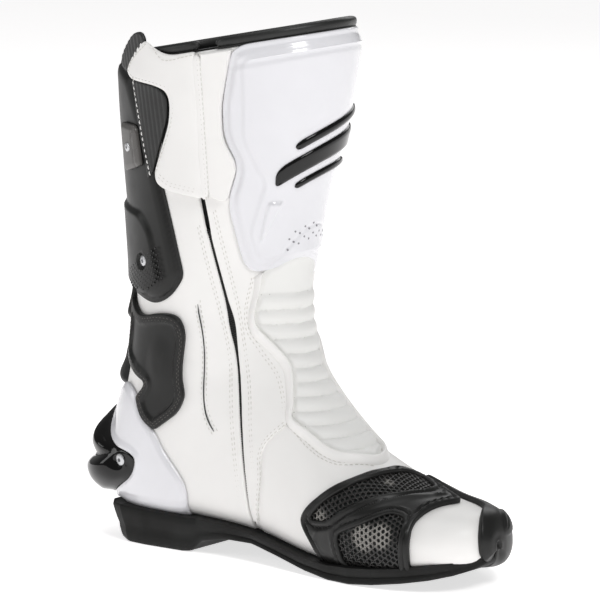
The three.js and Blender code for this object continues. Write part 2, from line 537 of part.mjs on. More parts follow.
add('flap_anchor', slab([LAYER_GAP, flapLayer[1]], [11.5, COLLAR], MEDIAL_PATCH)
  .intersect(sideCut(anchorOutline, -FAR, 0)).intersect(aheadOfHinge), leather);

// ---- zip on the leg: straight over the slider's travel ----
function onZipLine(station) {
  let low = -0.9;
  let high = -0.1;
  const [xa, za] = [along(ZIP_TOP[0]), up(ZIP_TOP[1])];
  const [xb, zb] = [along(ZIP_END[0]), up(ZIP_END[1])];
  for (let i = 0; i < 40; i++) {
    const turn = (low + high) / 2;
    const p = skin(station, turn);
    const ahead = (p.x - xa) * (za - zb) - (p.z - za) * (xa - xb) > 0;
    if (ahead) high = turn; else low = turn;
  }
  return (low + high) / 2;
}
const zipStart = skin(ZIP_TRAVEL_TOP, onZipLine(ZIP_TRAVEL_TOP));
const zipFinish = skin(ZIP_TRAVEL_END, onZipLine(ZIP_TRAVEL_END));
const zipDown = zipFinish.clone().sub(zipStart).normalize();
const zipMiddle = (ZIP_TRAVEL_TOP + ZIP_TRAVEL_END) / 2;
const zipOut = skinNormal(zipMiddle, onZipLine(zipMiddle));
zipOut.addScaledVector(zipDown, -zipOut.dot(zipDown)).normalize();
const zipFront = zipOut.clone().cross(zipDown).normalize();
if (zipFront.x < 0) zipFront.negate();

// A section (forwards, outwards) swept down the zip line, from one distance below its top to another.
function alongZip(section, from, to) {
  const block = new THREE.ExtrudeGeometry(outlineShape(section), { depth: to - from, bevelEnabled: false });
  block.translate(0, 0, from);
  block.applyMatrix4(new THREE.Matrix4().makeBasis(zipFront, zipOut, zipDown).setPosition(zipStart));
  return toSolid(block);
}
const rectangle = (a0, a1, b0, b1) => [[a0, b0], [a1, b0], [a1, b1], [a0, b1]];

const ZIP_BULGE = 1.1 * shaftScale; // room for the wall's curve beside the straight zip
const COIL_TOP = -LEATHER - ZIP_BULGE - 1.4;
const COIL_DEPTH = 1.8;
const COIL_WIDTH = 2.3;
const COIL_PARTING = 0.75;     // from the middle to either coil
const SLIDER_PLATE = 1.0;
const SLIDER_HALF = 4.4;
const SLIDER_LENGTH = 13;
const SLIDER_POST = 0.45;
const BRIDGE_HALF = 0.9;
const BRIDGE_LENGTH = 6;
const PULLER_DEPTH = 0.9;
const PULLER_RISE = 0.9;
const PULLER_HALF = 3.6;
const PULLER_LENGTH = 22;
const zipLength = zipStart.distanceTo(zipFinish);
const coilMiddle = COIL_TOP - COIL_DEPTH / 2;
const TAPE_EDGE = 6.0;         // from the middle to the edge sewn under the leather
const TAPE_FLANGE = 0.8;
const FLANGE_TOP = -LEATHER - 1.8;
const TAPE = 0.6;
const coilEdge = COIL_PARTING + COIL_WIDTH;
const zipHalf = (side) => [
  [COIL_PARTING, COIL_TOP], [coilEdge, COIL_TOP], [coilEdge, coilMiddle + TAPE / 2],
  [TAPE_EDGE - TAPE_FLANGE, coilMiddle + TAPE / 2], [TAPE_EDGE - TAPE_FLANGE, FLANGE_TOP],
  [TAPE_EDGE, FLANGE_TOP], [TAPE_EDGE, coilMiddle - TAPE / 2], [coilEdge, coilMiddle - TAPE / 2],
  [coilEdge, COIL_TOP - COIL_DEPTH], [COIL_PARTING, COIL_TOP - COIL_DEPTH],
].map(([a, b]) => [side * a, b]);
add('zip_half_front', alongZip(zipHalf(1), 0, zipLength), fabricBlack);
add('zip_half_rear', alongZip(zipHalf(-1), 0, zipLength), fabricBlack);
add('zip_leg_end', zipTape.intersect(legCut()).intersect(slab([-20, 5], [9, ZIP_TRAVEL_END - 0.05], MEDIAL_PATCH))
  .subtract(alongZip(rectangle(-8, 8, -9, 0), 0, zipLength + FIT)), fabricBlack);

const sliderTop = COIL_TOP + FIT + SLIDER_PLATE;
const sliderFloor = COIL_TOP - COIL_DEPTH - FIT;
const bridgeTop = PULLER_RISE + PULLER_DEPTH + 0.25;
const bridgeStart = (SLIDER_LENGTH - BRIDGE_LENGTH) / 2;
add('zip_slider', alongZip(rectangle(-SLIDER_HALF, SLIDER_HALF, COIL_TOP + FIT, sliderTop), 0, SLIDER_LENGTH)
  .add(alongZip(rectangle(-SLIDER_HALF, SLIDER_HALF, sliderFloor - SLIDER_PLATE, sliderFloor), 0, SLIDER_LENGTH))
  .add(alongZip(rectangle(-SLIDER_POST, SLIDER_POST, sliderFloor - 0.5, sliderTop - 0.5), 1, SLIDER_LENGTH - 1))
  .add(alongZip(rectangle(-BRIDGE_HALF, BRIDGE_HALF, sliderTop - 0.5, bridgeTop), bridgeStart,
    bridgeStart + BRIDGE_LENGTH)), steel);
const pullerEye = alongZip(rectangle(-BRIDGE_HALF - FIT, BRIDGE_HALF + FIT, 0, 9), bridgeStart - FIT,
  bridgeStart + BRIDGE_LENGTH + FIT);
add('zip_puller', alongZip(rectangle(-PULLER_HALF, PULLER_HALF, PULLER_RISE, PULLER_RISE + PULLER_DEPTH), 0.8, PULLER_LENGTH)
  .subtract(pullerEye), blackPlastic);

// ---- calf adjuster: a block that slides on the calf plate, under its clamping screw ----
const adjusterOutline = [[30, 271], [46, 275], [52, 249], [36, 245]];
const adjusterWay = skin(14.2, ADJUSTER_SCREW[1]).sub(skin(13.7, ADJUSTER_SCREW[1])).normalize();
const slotAt = (shift) => screwTool(...ADJUSTER_SCREW, adjusterLayer[1], [
  [SCREW_HEAD + FIT, -SCREW_RECESS - 0.6, 6], [SCREW_SHANK + FIT, -9, 1],
]).translate([adjusterWay.x * shift, adjusterWay.y * shift, adjusterWay.z * shift]);
let adjuster = slab(adjusterLayer, [13, COLLAR], REAR).intersect(sideCut(adjusterOutline, -FAR, 0));
for (let shift = -ADJUSTER_TRAVEL; shift <= ADJUSTER_TRAVEL; shift += ADJUSTER_TRAVEL / 2) adjuster = adjuster.subtract(slotAt(shift));
add('calf_adjuster', adjuster, adjusterGrey);
add('calf_adjuster_screw', screwTool(...ADJUSTER_SCREW, adjusterLayer[1], [
  [SCREW_HEAD, -SCREW_RECESS - 0.3, SCREW_HEAD_HEIGHT - SCREW_RECESS],
  [SCREW_SHANK, -(adjusterLayer[1] - plateLayer[0]) + 0.5, -SCREW_RECESS],
]), steel);

// The origin goes under the middle of the boot, on the ground.
const box = new THREE.Box3().setFromObject(boot);
const middle = box.getCenter(new THREE.Vector3());
boot.position.set(-middle.x, -middle.y, -box.min.z);

export default boot;
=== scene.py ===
"""Left road-racing boot: every visible piece, laid on one skin, the outside of the leather upper.

A place on the skin is a station (0 at the toe tip, 15 at the collar) and a turn (0 along the front,
-1 and 1 along the rear, negative on the inner side). A depth is in millimetres outwards from the skin.
"""
import math

import bpy
import numpy as np
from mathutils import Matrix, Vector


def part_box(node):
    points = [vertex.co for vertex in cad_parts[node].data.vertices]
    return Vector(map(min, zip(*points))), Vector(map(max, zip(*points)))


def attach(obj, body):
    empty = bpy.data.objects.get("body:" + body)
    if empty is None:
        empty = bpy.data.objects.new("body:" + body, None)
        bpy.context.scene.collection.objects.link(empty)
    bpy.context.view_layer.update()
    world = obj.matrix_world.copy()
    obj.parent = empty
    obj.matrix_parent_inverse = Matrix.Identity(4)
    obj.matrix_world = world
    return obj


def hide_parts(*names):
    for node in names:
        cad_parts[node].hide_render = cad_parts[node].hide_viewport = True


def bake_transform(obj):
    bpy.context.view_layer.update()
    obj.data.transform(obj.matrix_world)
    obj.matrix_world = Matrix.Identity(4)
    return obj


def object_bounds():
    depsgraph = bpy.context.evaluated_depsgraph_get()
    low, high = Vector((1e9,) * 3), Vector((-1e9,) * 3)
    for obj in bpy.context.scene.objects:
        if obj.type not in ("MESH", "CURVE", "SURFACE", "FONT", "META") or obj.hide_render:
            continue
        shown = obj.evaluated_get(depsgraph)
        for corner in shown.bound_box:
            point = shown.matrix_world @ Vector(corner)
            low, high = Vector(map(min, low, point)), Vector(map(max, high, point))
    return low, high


bl_info = {
    "name": "Racing boot",
    "version": (1, 0, 0),
    "blender": (4, 5, 0),
    "location": "View3D > Sidebar > Boot",
    "description": "Builds a left road-racing boot with its straps, guards, zip and sole",
    "category": "Object",
}

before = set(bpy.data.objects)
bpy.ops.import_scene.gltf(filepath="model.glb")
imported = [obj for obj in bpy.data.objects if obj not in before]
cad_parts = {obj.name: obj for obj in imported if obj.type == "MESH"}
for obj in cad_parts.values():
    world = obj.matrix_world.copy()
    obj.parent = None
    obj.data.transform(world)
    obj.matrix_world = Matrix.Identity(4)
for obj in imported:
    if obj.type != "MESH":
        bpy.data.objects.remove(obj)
CAD_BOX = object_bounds()
MM = 0.001

# The drawing's zero is 5 mm ahead of the outsole's heel end and 50 mm inside its outer edge.
SOLE_BOX = [np.array(corner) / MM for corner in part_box("outsole")]
DRAWING_SHIFT = np.array([SOLE_BOX[0][0] - 5.0, SOLE_BOX[1][1] - 50.0, 0.0])


def to_row(points):
    """Drawing millimetres as metres in the row frame."""
    return (np.asarray(points, float) + DRAWING_SHIFT) * MM


def linear(code):
    """An sRGB hex colour as linear red, green and blue."""
    parts = [int(code[i:i + 2], 16) / 255 for i in (1, 3, 5)]
    return tuple(c / 12.92 if c <= 0.04045 else ((c + 0.055) / 1.055) ** 2.4 for c in parts)


# ---- the skin ----

# Sections from the toe tip to above the collar: front x, y, z; rear x, y, z; widest place from the
# rear; front and rear powers; inner and outer half-widths.
SECTIONS = np.array([
    [298, -12, 32, 298, -11, 28, 0.50, 2.0, 2.0, 2, 2],
    [291, -12, 46, 290, -9, 16, 0.45, 2.1, 2.6, 23, 21],
    [271, -11, 50, 268, -5, 10, 0.42, 2.2, 3.2, 38, 38],
    [241, -9, 55, 238, -1, 6, 0.40, 2.2, 3.6, 47, 47],
    [208, -7, 69, 202, 1, 4, 0.40, 2.2, 3.6, 48, 49],
    [181, -5, 85, 166, 1, 7, 0.40, 2.1, 3.6, 43, 46],
    [161, -3, 107, 124, 0, 15, 0.40, 2.1, 3.6, 37, 41],
    [147, -1, 130, 76, 0, 18, 0.40, 2.1, 3.6, 37, 38],
    [140, 0, 154, 25, 0, 20, 0.42, 2.0, 3.4, 39, 39],
    [139, 0, 178, 0, 0, 36, 0.44, 2.0, 2.8, 41, 41],
    [140, 0, 200, 3, 0, 74, 0.46, 2.0, 2.3, 43, 44],
    [142, 0, 221, 12, 0, 118, 0.47, 2.0, 2.1, 46, 46],
    [147, 0, 245, 17, 0, 160, 0.48, 2.0, 2.1, 49, 49],
    [156, 0, 273, 15, 0, 205, 0.48, 2.0, 2.1, 51.4, 53],
    [164, 0, 306, 11, 0, 252, 0.49, 2.0, 2.1, 55.1, 57],
    [169, 0, 341, 9, 0, 309, 0.50, 2.0, 2.1, 60, 60],
    [172, 0, 371, 8, 0, 339, 0.50, 2.0, 2.1, 63, 63],
])
COLLAR = 15.0
STATIONS = np.arange(-0.09, 15.9, 0.03)
HALF_TURNS = 240


def sections_at(stations):
    """Rows of the section table between stations, by a Catmull-Rom spline with its ends run on straight."""
    table = np.vstack([2 * SECTIONS[0] - SECTIONS[1], SECTIONS, 2 * SECTIONS[-1] - SECTIONS[-2]])
    start = np.clip(np.floor(stations).astype(int), 0, len(SECTIONS) - 2)
    f = (stations - start)[:, None]
    p0, p1, p2, p3 = (table[start + k] for k in range(4))
    return p1 + 0.5 * f * (p2 - p0 + f * (2 * p0 - 5 * p1 + 4 * p2 - p3 + f * (3 * (p1 - p2) + p3 - p0)))


def skin_table():
    """Skin points and outward directions on a grid of stations and turns.

    Each half section is a superellipse about its widest place, spaced evenly by its own length."""
    rows = sections_at(STATIONS)
    front, rear, wide = rows[:, 0:3], rows[:, 3:6], rows[:, 6:7]
    chord = np.hypot(rows[:, 0] - rows[:, 3], rows[:, 2] - rows[:, 5])[:, None]
    angle = np.linspace(0, np.pi, 91)
    c = np.cos(angle)
    power = np.where(c >= 0, rows[:, 7:8], rows[:, 8:9])
    place = wide + np.sign(c) * np.abs(c) ** (2 / power) * np.where(c >= 0, 1 - wide, wide)
    swell = np.abs(np.sin(angle)) ** (2 / power)
    shares = np.linspace(0, 1, HALF_TURNS + 1)
    halves = []
    for side, width in ((-1, rows[:, 9:10]), (1, rows[:, 10:11])):
        reach = width * swell
        run = np.cumsum(np.hypot(np.diff(place * chord, axis=1), np.diff(reach, axis=1)), axis=1)
        run = np.hstack([np.zeros((len(rows), 1)), run])
        run /= run[:, -1:]
        even_place = np.array([np.interp(shares, r, p) for r, p in zip(run, place)])[:, :, None]
        even_reach = np.array([np.interp(shares, r, w) for r, w in zip(run, reach)])
        half = rear[:, None] + (front - rear)[:, None] * even_place
        half[:, :, 1] += side * even_reach
        halves.append(half)
    points = np.concatenate([halves[0][:, :0:-1], halves[1][:, :-1]], axis=1)
    by_station = np.gradient(points, axis=0)
    by_turn = (np.roll(points, -1, axis=1) - np.roll(points, 1, axis=1)) / 2
    out = np.cross(by_turn, by_station)
    out /= np.linalg.norm(out, axis=2, keepdims=True)
    return points, out


SKIN, SKIN_OUT = skin_table()


def table_at(table, t, v):
    """A skin table between its stations and turns, in straight steps."""
    row = np.clip((t - STATIONS[0]) / 0.03, 0, len(STATIONS) - 1.001)
    column = ((v + 1) % 2) * HALF_TURNS
    i, j = row.astype(int), np.minimum(column.astype(int), 2 * HALF_TURNS - 1)
    a, b = (row - i)[..., None], (column - j)[..., None]
    k = (j + 1) % (2 * HALF_TURNS)
    return (table[i, j] * (1 - b) + table[i, k] * b) * (1 - a) + (table[i + 1, j] * (1 - b) + table[i + 1, k] * b) * a


def on_skin(t, v, depth=0.0):
    """Points at stations and turns, lifted by a depth along the skin's outward direction."""
    t, v, depth = np.broadcast_arrays(np.asarray(t, float), np.asarray(v, float), np.asarray(depth, float))
    out = table_at(SKIN_OUT, t, v)
    out = out / np.linalg.norm(out, axis=-1, keepdims=True)
    return table_at(SKIN, t, v) + out * depth[..., None]


def skin_steps(t, v):
    """Millimetres of skin per station and per turn at each place."""
    t, v = np.asarray(t, float), np.asarray(v, float)
    e = 0.01
    by_t = np.linalg.norm(on_skin(t + e, v) - on_skin(t - e, v), axis=-1) / (2 * e)
    by_v = np.linalg.norm(on_skin(t, v + e) - on_skin(t, v - e), axis=-1) / (2 * e)
    return np.maximum(by_t, 1.0), np.maximum(by_v, 1.0)


def on_line(stations, high, low):
    """Inner-side turns where the skin crosses a straight line of the side view, at each station."""
    turns = np.linspace(-0.95, -0.05, 361)
    found = []
    for t in stations:
        p = on_skin(t, turns)
        ahead = (p[:, 0] - high[0]) * (high[1] - low[1]) - (p[:, 2] - high[1]) * (high[0] - low[0])
        found.append(np.interp(0, ahead, turns))
    return np.array(found)


ZIP_LINE = ((80, 356), (125.2, 26))
HINGE_LINE = ((103, 345), (101, 226))
ZIP_FOOT = 6.08


def zip_path(start, end, count=60):
    """The zip's places from one station to another."""
    t = np.linspace(start, end, count)
    return np.stack([t, on_line(t, *ZIP_LINE)], 1)


# ---- outlines and paths on the skin ----

def lengths(points):
    """Running length of a line of points."""
    return np.concatenate([[0], np.cumsum(np.linalg.norm(np.diff(points, axis=0), axis=1))])


def smooth_path(places, step):
    """Places on a Catmull-Rom curve through the given ones, a step apart in millimetres."""
    p = np.asarray(places, float)
    p = np.vstack([2 * p[0] - p[1], p, 2 * p[-1] - p[-2]])
    f = np.linspace(0, 1, 16, endpoint=False)[:, None]
    curve = [
        p1 + 0.5 * f * (p2 - p0 + f * (2 * p0 - 5 * p1 + 4 * p2 - p3 + f * (3 * (p1 - p2) + p3 - p0)))
        for p0, p1, p2, p3 in zip(p[:-3], p[1:-2], p[2:-1], p[3:])
    ]
    dense = np.vstack(curve + [p[-2:-1]])
    run = lengths(on_skin(dense[:, 0], dense[:, 1]))
    even = np.linspace(0, run[-1], max(int(round(run[-1] / step)), 2) + 1)
    return np.stack([np.interp(even, run, dense[:, 0]), np.interp(even, run, dense[:, 1])], 1)


def rounded_ring(corners, radius):
    """A closed outline with each corner replaced by a parabolic arc that starts a radius before it."""
    corners = [(c[0], c[1], c[2] if len(c) > 2 else radius) for c in corners]
    ring = []
    for n, (t, v, r) in enumerate(corners):
        here = np.array([t, v])
        ends = []
        for other in (corners[n - 1], corners[(n + 1) % len(corners)]):
            other = np.array(other[:2])
            length = np.linalg.norm(on_skin(*other) - on_skin(*here))
            ends.append(here + (other - here) * min(r / max(length, 0.1), 0.48))
        for f in np.linspace(0, 1, 7):
            ring.append((1 - f) ** 2 * ends[0] + 2 * f * (1 - f) * here + f * f * ends[1])
    ring = np.array(ring + [ring[0]])
    run = lengths(on_skin(ring[:, 0], ring[:, 1]))
    extra = np.arange(0, run[-1], 4.0)
    keep = np.unique(np.round(np.concatenate([run, extra]), 2))
    return np.stack([np.interp(keep, run, ring[:, 0]), np.interp(keep, run, ring[:, 1])], 1)[:-1]


def across_steps(line, closed=False):
    """The change in station and turn that moves a millimetre to the left of a line, at each place on it."""
    if closed:
        along = np.roll(line, -1, axis=0) - np.roll(line, 1, axis=0)
    else:
        along = np.gradient(line, axis=0)
    per_t, per_v = skin_steps(line[:, 0], line[:, 1])
    a, b = along[:, 0] * per_t, along[:, 1] * per_v
    size = np.maximum(np.hypot(a, b), 1e-9)
    return np.stack([-b / size / per_t, a / size / per_v], 1)


def inset(ring, distance):
    """A closed outline moved inwards by a distance in millimetres."""
    t, v = ring[:, 0], ring[:, 1]
    area = np.sum(t * np.roll(v, -1) - np.roll(t, -1) * v)
    return ring + across_steps(ring, closed=True) * distance * np.sign(area)


def nearest_on(points, line):
    """Each point's distance to a line of points, and where: the number of the segment plus the share of it."""
    best = np.full(len(points), 1e9)
    where = np.zeros(len(points))
    for k in range(len(line) - 1):
        step = line[k + 1] - line[k]
        away = points - line[k]
        share = np.clip(away @ step / max(step @ step, 1e-9), 0, 1)
        gap = np.linalg.norm(away - share[:, None] * step, axis=1)
        closer = gap < best
        best[closer] = gap[closer]
        where[closer] = k + share[closer]
    return best, where


def is_inside(t, v, ring):
    """Whether places lie inside a closed outline, by counting the edges to one side."""
    inside = np.zeros(len(t), bool)
    for (ta, va), (tb, vb) in zip(ring, np.roll(ring, -1, axis=0)):
        if ta == tb:
            continue
        crosses = (ta > t) != (tb > t)
        inside ^= crosses & (v < va + (t - ta) / (tb - ta) * (vb - va))
    return inside


def place_on(ring, where):
    """Places on a closed outline at segment numbers plus shares."""
    closed = np.vstack([ring, ring[:1]])
    k = np.minimum(where.astype(int), len(ring) - 1)
    return closed[k] + (closed[k + 1] - closed[k]) * (where - k)[:, None]


class Spot:
    """What a relief's shape is worked out from: places, points and distances inwards from the outline."""

    def __init__(self, t, v, edge):
        self.t, self.v, self.edge = t, v, edge
        self.points = on_skin(t, v)

    def from_path(self, places, step=3.0):
        """Distance in millimetres to a curve through places."""
        path = smooth_path(places, step)
        return nearest_on(self.points, on_skin(path[:, 0], path[:, 1]))[0]

    def inside(self, corners, radius=4.0):
        """Distance in millimetres inwards from another outline, negative outside it."""
        ring = rounded_ring(corners, radius)
        closed = np.vstack([ring, ring[:1]])
        gap = nearest_on(self.points, on_skin(closed[:, 0], closed[:, 1]))[0]
        return np.where(is_inside(self.t, self.v, ring), gap, -gap)

    def local(self, t, v):
        """Millimetres up the boot and forwards round it from a place, on the flat that touches the skin there."""
        centre = on_skin(t, v)
        up = on_skin(t + 0.02, v) - on_skin(t - 0.02, v)
        up /= np.linalg.norm(up)
        round_ = on_skin(t, v + 0.01) - on_skin(t, v - 0.01)
        round_ -= up * (round_ @ up)
        round_ /= np.linalg.norm(round_)
        away = self.points - centre
        return away @ up, away @ round_


def rise(x, start, end):
    """0 before start, 1 after end, and an even S-curve between."""
    f = np.clip((x - start) / (end - start), 0, 1)
    return f * f * (3 - 2 * f)


def ridge(distance, width):
    """1 on a line, falling away as a bell of a half-width."""
    return np.exp(-((distance / width) ** 2))


# ---- meshes ----

def make_piece(name, look, points, faces, crease=40):
    """A mesh object from drawing millimetres and a list of face arrays, with its faces turned outwards."""
    points = np.asarray(points, float)
    faces = [np.asarray(f, int) for f in faces if len(f)]
    volume = 0.0
    for f in faces:
        for k in range(1, f.shape[1] - 1):
            a, b, c = points[f[:, 0]], points[f[:, k]], points[f[:, k + 1]]
            volume += np.sum(np.cross(a, b) * c)
    if volume < 0:
        faces = [f[:, ::-1] for f in faces]
    mesh = bpy.data.meshes.new(name)
    mesh.from_pydata(to_row(points).tolist(), [], [row for f in faces for row in f.tolist()])
    mesh.validate()
    mesh.shade_smooth()
    mesh.set_sharp_from_angle(angle=math.radians(crease))
    mesh.materials.append(look)
    piece = bpy.data.objects.new(name, mesh)
    bpy.context.scene.collection.objects.link(piece)
    return piece


def boundary_edges(quads):
    """Directed edges of a sheet of quads that no other quad shares."""
    edges = np.concatenate([quads[:, [k, (k + 1) % 4]] for k in range(4)])
    size = quads.max() + 1
    codes, turned = edges[:, 0] * size + edges[:, 1], edges[:, 1] * size + edges[:, 0]
    return edges[~np.isin(codes, turned)]


def relief(name, look, outline, inner, outer, cell=1.6, roll=1.0, lip=0.4, corner=5.0, holes=(), shape=None):
    """A closed moulding or panel on the skin, inside an outline of stations and turns.

    A grid of cells is fitted to the outline less the roll. The outer face lies at the outer depth plus
    the shape's height, a quarter circle rolls down to a lip, which is a share of the thickness, and a
    wall goes on to the flat inner face."""
    rings = [rounded_ring(outline, corner)] + [rounded_ring(hole, corner) for hole in holes]
    insets = [inset(ring, roll if n == 0 else -roll) for n, ring in enumerate(rings)]
    low, high = insets[0].min(axis=0), insets[0].max(axis=0)
    middle = (low[1] + high[1]) / 2
    fine = np.linspace(low[0] - 0.04, high[0] + 0.04, 200)
    run = lengths(on_skin(fine, np.full(200, middle)))
    stations = np.interp(np.linspace(0, run[-1], int(run[-1] / cell) + 3), run, fine)
    widest = skin_steps(np.linspace(low[0], high[0], 9), np.full(9, middle))[1].max()
    pad = 1.5 * cell / widest
    turns = np.linspace(low[1] - pad, high[1] + pad, int((high[1] - low[1]) * widest / cell) + 4)
    t, v = (a.ravel() for a in np.meshgrid(stations, turns, indexing="ij"))
    points = on_skin(t, v)
    edge, ring_number, where = np.full(len(t), 1e9), np.zeros(len(t), int), np.zeros(len(t))
    for n, ring in enumerate(insets):
        closed = np.vstack([ring, ring[:1]])
        gap, at = nearest_on(points, on_skin(closed[:, 0], closed[:, 1]))
        signed = np.where(is_inside(t, v, ring) == (n == 0), gap, -gap)
        closer = signed < edge
        edge[closer], ring_number[closer], where[closer] = signed[closer], n, at[closer]
    snapped = edge < 0.35 * cell
    for n, ring in enumerate(insets):
        mine = snapped & (ring_number == n)
        places = place_on(ring, where[mine])
        t[mine], v[mine] = places[:, 0], places[:, 1]
    edge = np.where(snapped, 0, edge) + roll
    index = np.arange(len(t)).reshape(len(stations), len(turns))
    quads = np.stack([index[:-1, :-1], index[:-1, 1:], index[1:, 1:], index[1:, :-1]], -1).reshape(-1, 4)
    quads = quads[~snapped[quads].all(axis=1)]
    used, quads = np.unique(quads, return_inverse=True)
    quads = quads.reshape(-1, 4)
    t, v, edge, ring_number, where = (a[used] for a in (t, v, edge, ring_number, where))
    height = np.full(len(t), float(outer))
    if shape is not None:
        height = height + shape(Spot(t, v, edge))
    rim_edges = boundary_edges(quads)
    rim, rim_index = np.unique(rim_edges, return_inverse=True)
    rim_index = rim_index.reshape(-1, 2)
    outside = np.zeros((len(rim), 2))
    for n, ring in enumerate(rings):
        mine = ring_number[rim] == n
        outside[mine] = place_on(ring, where[rim][mine])
    inside = np.stack([t[rim], v[rim]], 1)
    foot = inner + lip * (height[rim] - inner)
    rows = [on_skin(t, v, height), on_skin(t, v, inner)]
    first = 2 * len(t)
    for angle in np.radians([30, 60, 90]):
        at = inside + (outside - inside) * math.sin(angle)
        rows.append(on_skin(at[:, 0], at[:, 1], foot + (height[rim] - foot) * math.cos(angle)))
    rows.append(on_skin(outside[:, 0], outside[:, 1], inner))
    levels = [rim] + [first + k * len(rim) + np.arange(len(rim)) for k in range(4)] + [len(t) + rim]
    faces = [quads, quads[:, ::-1] + len(t)]
    for above, below in zip(levels[:-1], levels[1:]):
        a, b = rim_index[:, 0], rim_index[:, 1]
        faces.append(np.stack([above[b], above[a], below[a], below[b]], 1))
    return make_piece(name, look, np.vstack(rows), faces)


def band(name, look, path, section, step=2.0, taper=0, crease=40):
    """A closed section of (across, depth) points in millimetres, carried along a path on the skin.

    The section shrinks along a quarter circle over the last steps at each end, if a taper is given."""
    line = smooth_path(path, step)
    count, width = len(line), len(section)
    section = np.asarray(section, float)
    middle = section.mean(axis=0)
    from_end = np.minimum(np.arange(count), np.arange(count)[::-1])
    size = np.ones(count)
    if taper:
        size = np.sqrt(1 - (1 - np.clip(from_end / taper, 0.05, 1)) ** 2)
    grown = middle + (section - middle)[None] * size[:, None, None]
    at = line[:, None] + across_steps(line)[:, None] * grown[:, :, :1]
    points = on_skin(at[..., 0], at[..., 1], grown[..., 1]).reshape(-1, 3)
    index = np.arange(count * width).reshape(count, width)
    ahead = np.roll(index, -1, axis=1)
    quads = np.stack([index[:-1], ahead[:-1], ahead[1:], index[1:]], -1).reshape(-1, 4)
    return make_piece(name, look, points, [quads, index[:1, ::-1], index[-1:]], crease)


def ellipse(across, depth, half_width, half_depth, count=12, power=2.0):
    """A closed round section: a superellipse about a middle."""
    angle = np.linspace(0, 2 * np.pi, count, endpoint=False)
    c, s = np.cos(angle), np.sin(angle)
    a = across + half_width * np.sign(c) * np.abs(c) ** (2 / power)
    b = depth + half_depth * np.sign(s) * np.abs(s) ** (2 / power)
    return np.stack([a, b], 1)


def stamp(shape_points, shape_quads, centres, forward, side, out):
    """Copies of one small shape, each in its own frame, as one set of points and quads."""
    p = np.asarray(shape_points, float)
    points = (centres[:, None] + p[None, :, :1] * forward[:, None] + p[None, :, 1:2] * side[:, None]
              + p[None, :, 2:] * out[:, None])
    quads = np.asarray(shape_quads)[None] + (np.arange(len(centres)) * len(p))[:, None, None]
    return points.reshape(-1, 3), quads.reshape(-1, 4)


def frames_on(t, v, depth, heading=None):
    """Centres and forward, side and outward directions at places; forward follows a heading or runs up the boot."""
    t, v = np.asarray(t, float), np.asarray(v, float)
    centres = on_skin(t, v, depth)
    out = on_skin(t, v, 1.0) - on_skin(t, v)
    forward = (on_skin(t + 0.02, v) - on_skin(t - 0.02, v)) if heading is None else heading
    forward = forward - out * np.sum(forward * out, axis=1, keepdims=True)
    forward = forward / np.linalg.norm(forward, axis=1, keepdims=True)
    return centres, forward, np.cross(out, forward), out


def tube_stamp(places, sizes, heights, sides=6):
    """A short closed tube: rings at places along it, with their radii and heights, and two quads at each end."""
    angle = np.linspace(0, 2 * np.pi, sides, endpoint=False)
    rings = [[(x, r * math.cos(a), h + r * math.sin(a)) for a in angle] for x, r, h in zip(places, sizes, heights)]
    points = np.array(rings).reshape(-1, 3)
    index = np.arange(len(points)).reshape(len(places), sides)
    ahead = np.roll(index, -1, axis=1)
    quads = np.stack([index[:-1], ahead[:-1], ahead[1:], index[1:]], -1).reshape(-1, 4)
    caps = [[0, 3, 2, 1], [0, 5, 4, 3]]
    last = (len(places) - 1) * sides
    ends = [[last + k for k in row[::-1]] for row in caps]
    return points, np.vstack([quads, caps, ends])


def stitching(name, look, rows, depth=0.0, pitch=3.4, length=2.3, radius=0.28):
    """Rows of thread stitches along paths: short tubes whose ends dip into the leather."""
    x = np.array([-1, -0.7, 0, 0.7, 1]) * length / 2
    shape = tube_stamp(x, radius * np.array([0.4, 0.9, 1, 0.9, 0.4]), -radius * 1.6 * (2 * x / length) ** 2)
    points, quads, first = [], [], 0
    for row in rows:
        path = smooth_path(row, pitch)
        at = on_skin(path[:, 0], path[:, 1])
        heading = np.gradient(at, axis=0)
        more, faces = stamp(*shape, *frames_on(path[:, 0], path[:, 1], depth + 0.35 * radius, heading))
        points.append(more)
        quads.append(faces + first)
        first += len(more)
    return make_piece(name, look, np.vstack(points), [np.vstack(quads)], crease=80)


def beside(path, distance):
    """A path moved sideways by millimetres."""
    line = smooth_path(path, 4.0)
    return line + across_steps(line) * distance


def screw(name, look, t, v, depth, radius=3.6, height=1.3, socket=1.5):
    """A button-head screw with a six-sided socket: rings of one profile round the skin's outward direction."""
    sides = 36
    angle = np.linspace(0, 2 * np.pi, sides, endpoint=False)
    six = np.cos(np.pi / 6) / np.cos((angle % (np.pi / 3)) - np.pi / 6)
    rings = [
        (np.full(sides, 0.02), -0.9), (socket * 0.96 * six, -0.9), (socket * six, 0.0), (socket * six + 0.16, 0.1),
        (np.full(sides, radius * 0.72), -0.02), (np.full(sides, radius * 0.93), -0.35),
        (np.full(sides, radius), -0.75), (np.full(sides, radius), -height), (np.full(sides, 0.02), -height),
    ]
    centre, forward, side, out = frames_on([t], [v], depth + height)
    points = np.vstack([
        centre + (r * np.cos(angle))[:, None] * forward + (r * np.sin(angle))[:, None] * side + h * out
        for r, h in rings
    ])
    index = np.arange(len(points)).reshape(len(rings), sides)
    ahead = np.roll(index, -1, axis=1)
    quads = np.stack([index[:-1], index[1:], ahead[1:], ahead[:-1]], -1).reshape(-1, 4)
    return make_piece(name, look, points, [quads, index[:1], index[-1:, ::-1]], crease=30)


# ---- how pieces move ----


def flex(piece):
    """Bakes a piece's placement into its mesh; nothing bends it with the ankle."""
    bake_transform(piece)


def settle(piece, body, slot, *nodes):
    """Hides the solids that a piece stands for, then joins the piece to its body, or bakes it in place for the ankle.
    Its finish, the slot argument, is not used.
    """
    if nodes:
        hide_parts(*nodes)
    if body == "ankle":
        flex(piece)
    else:
        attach(piece, body)
    return piece


# ---- materials ----

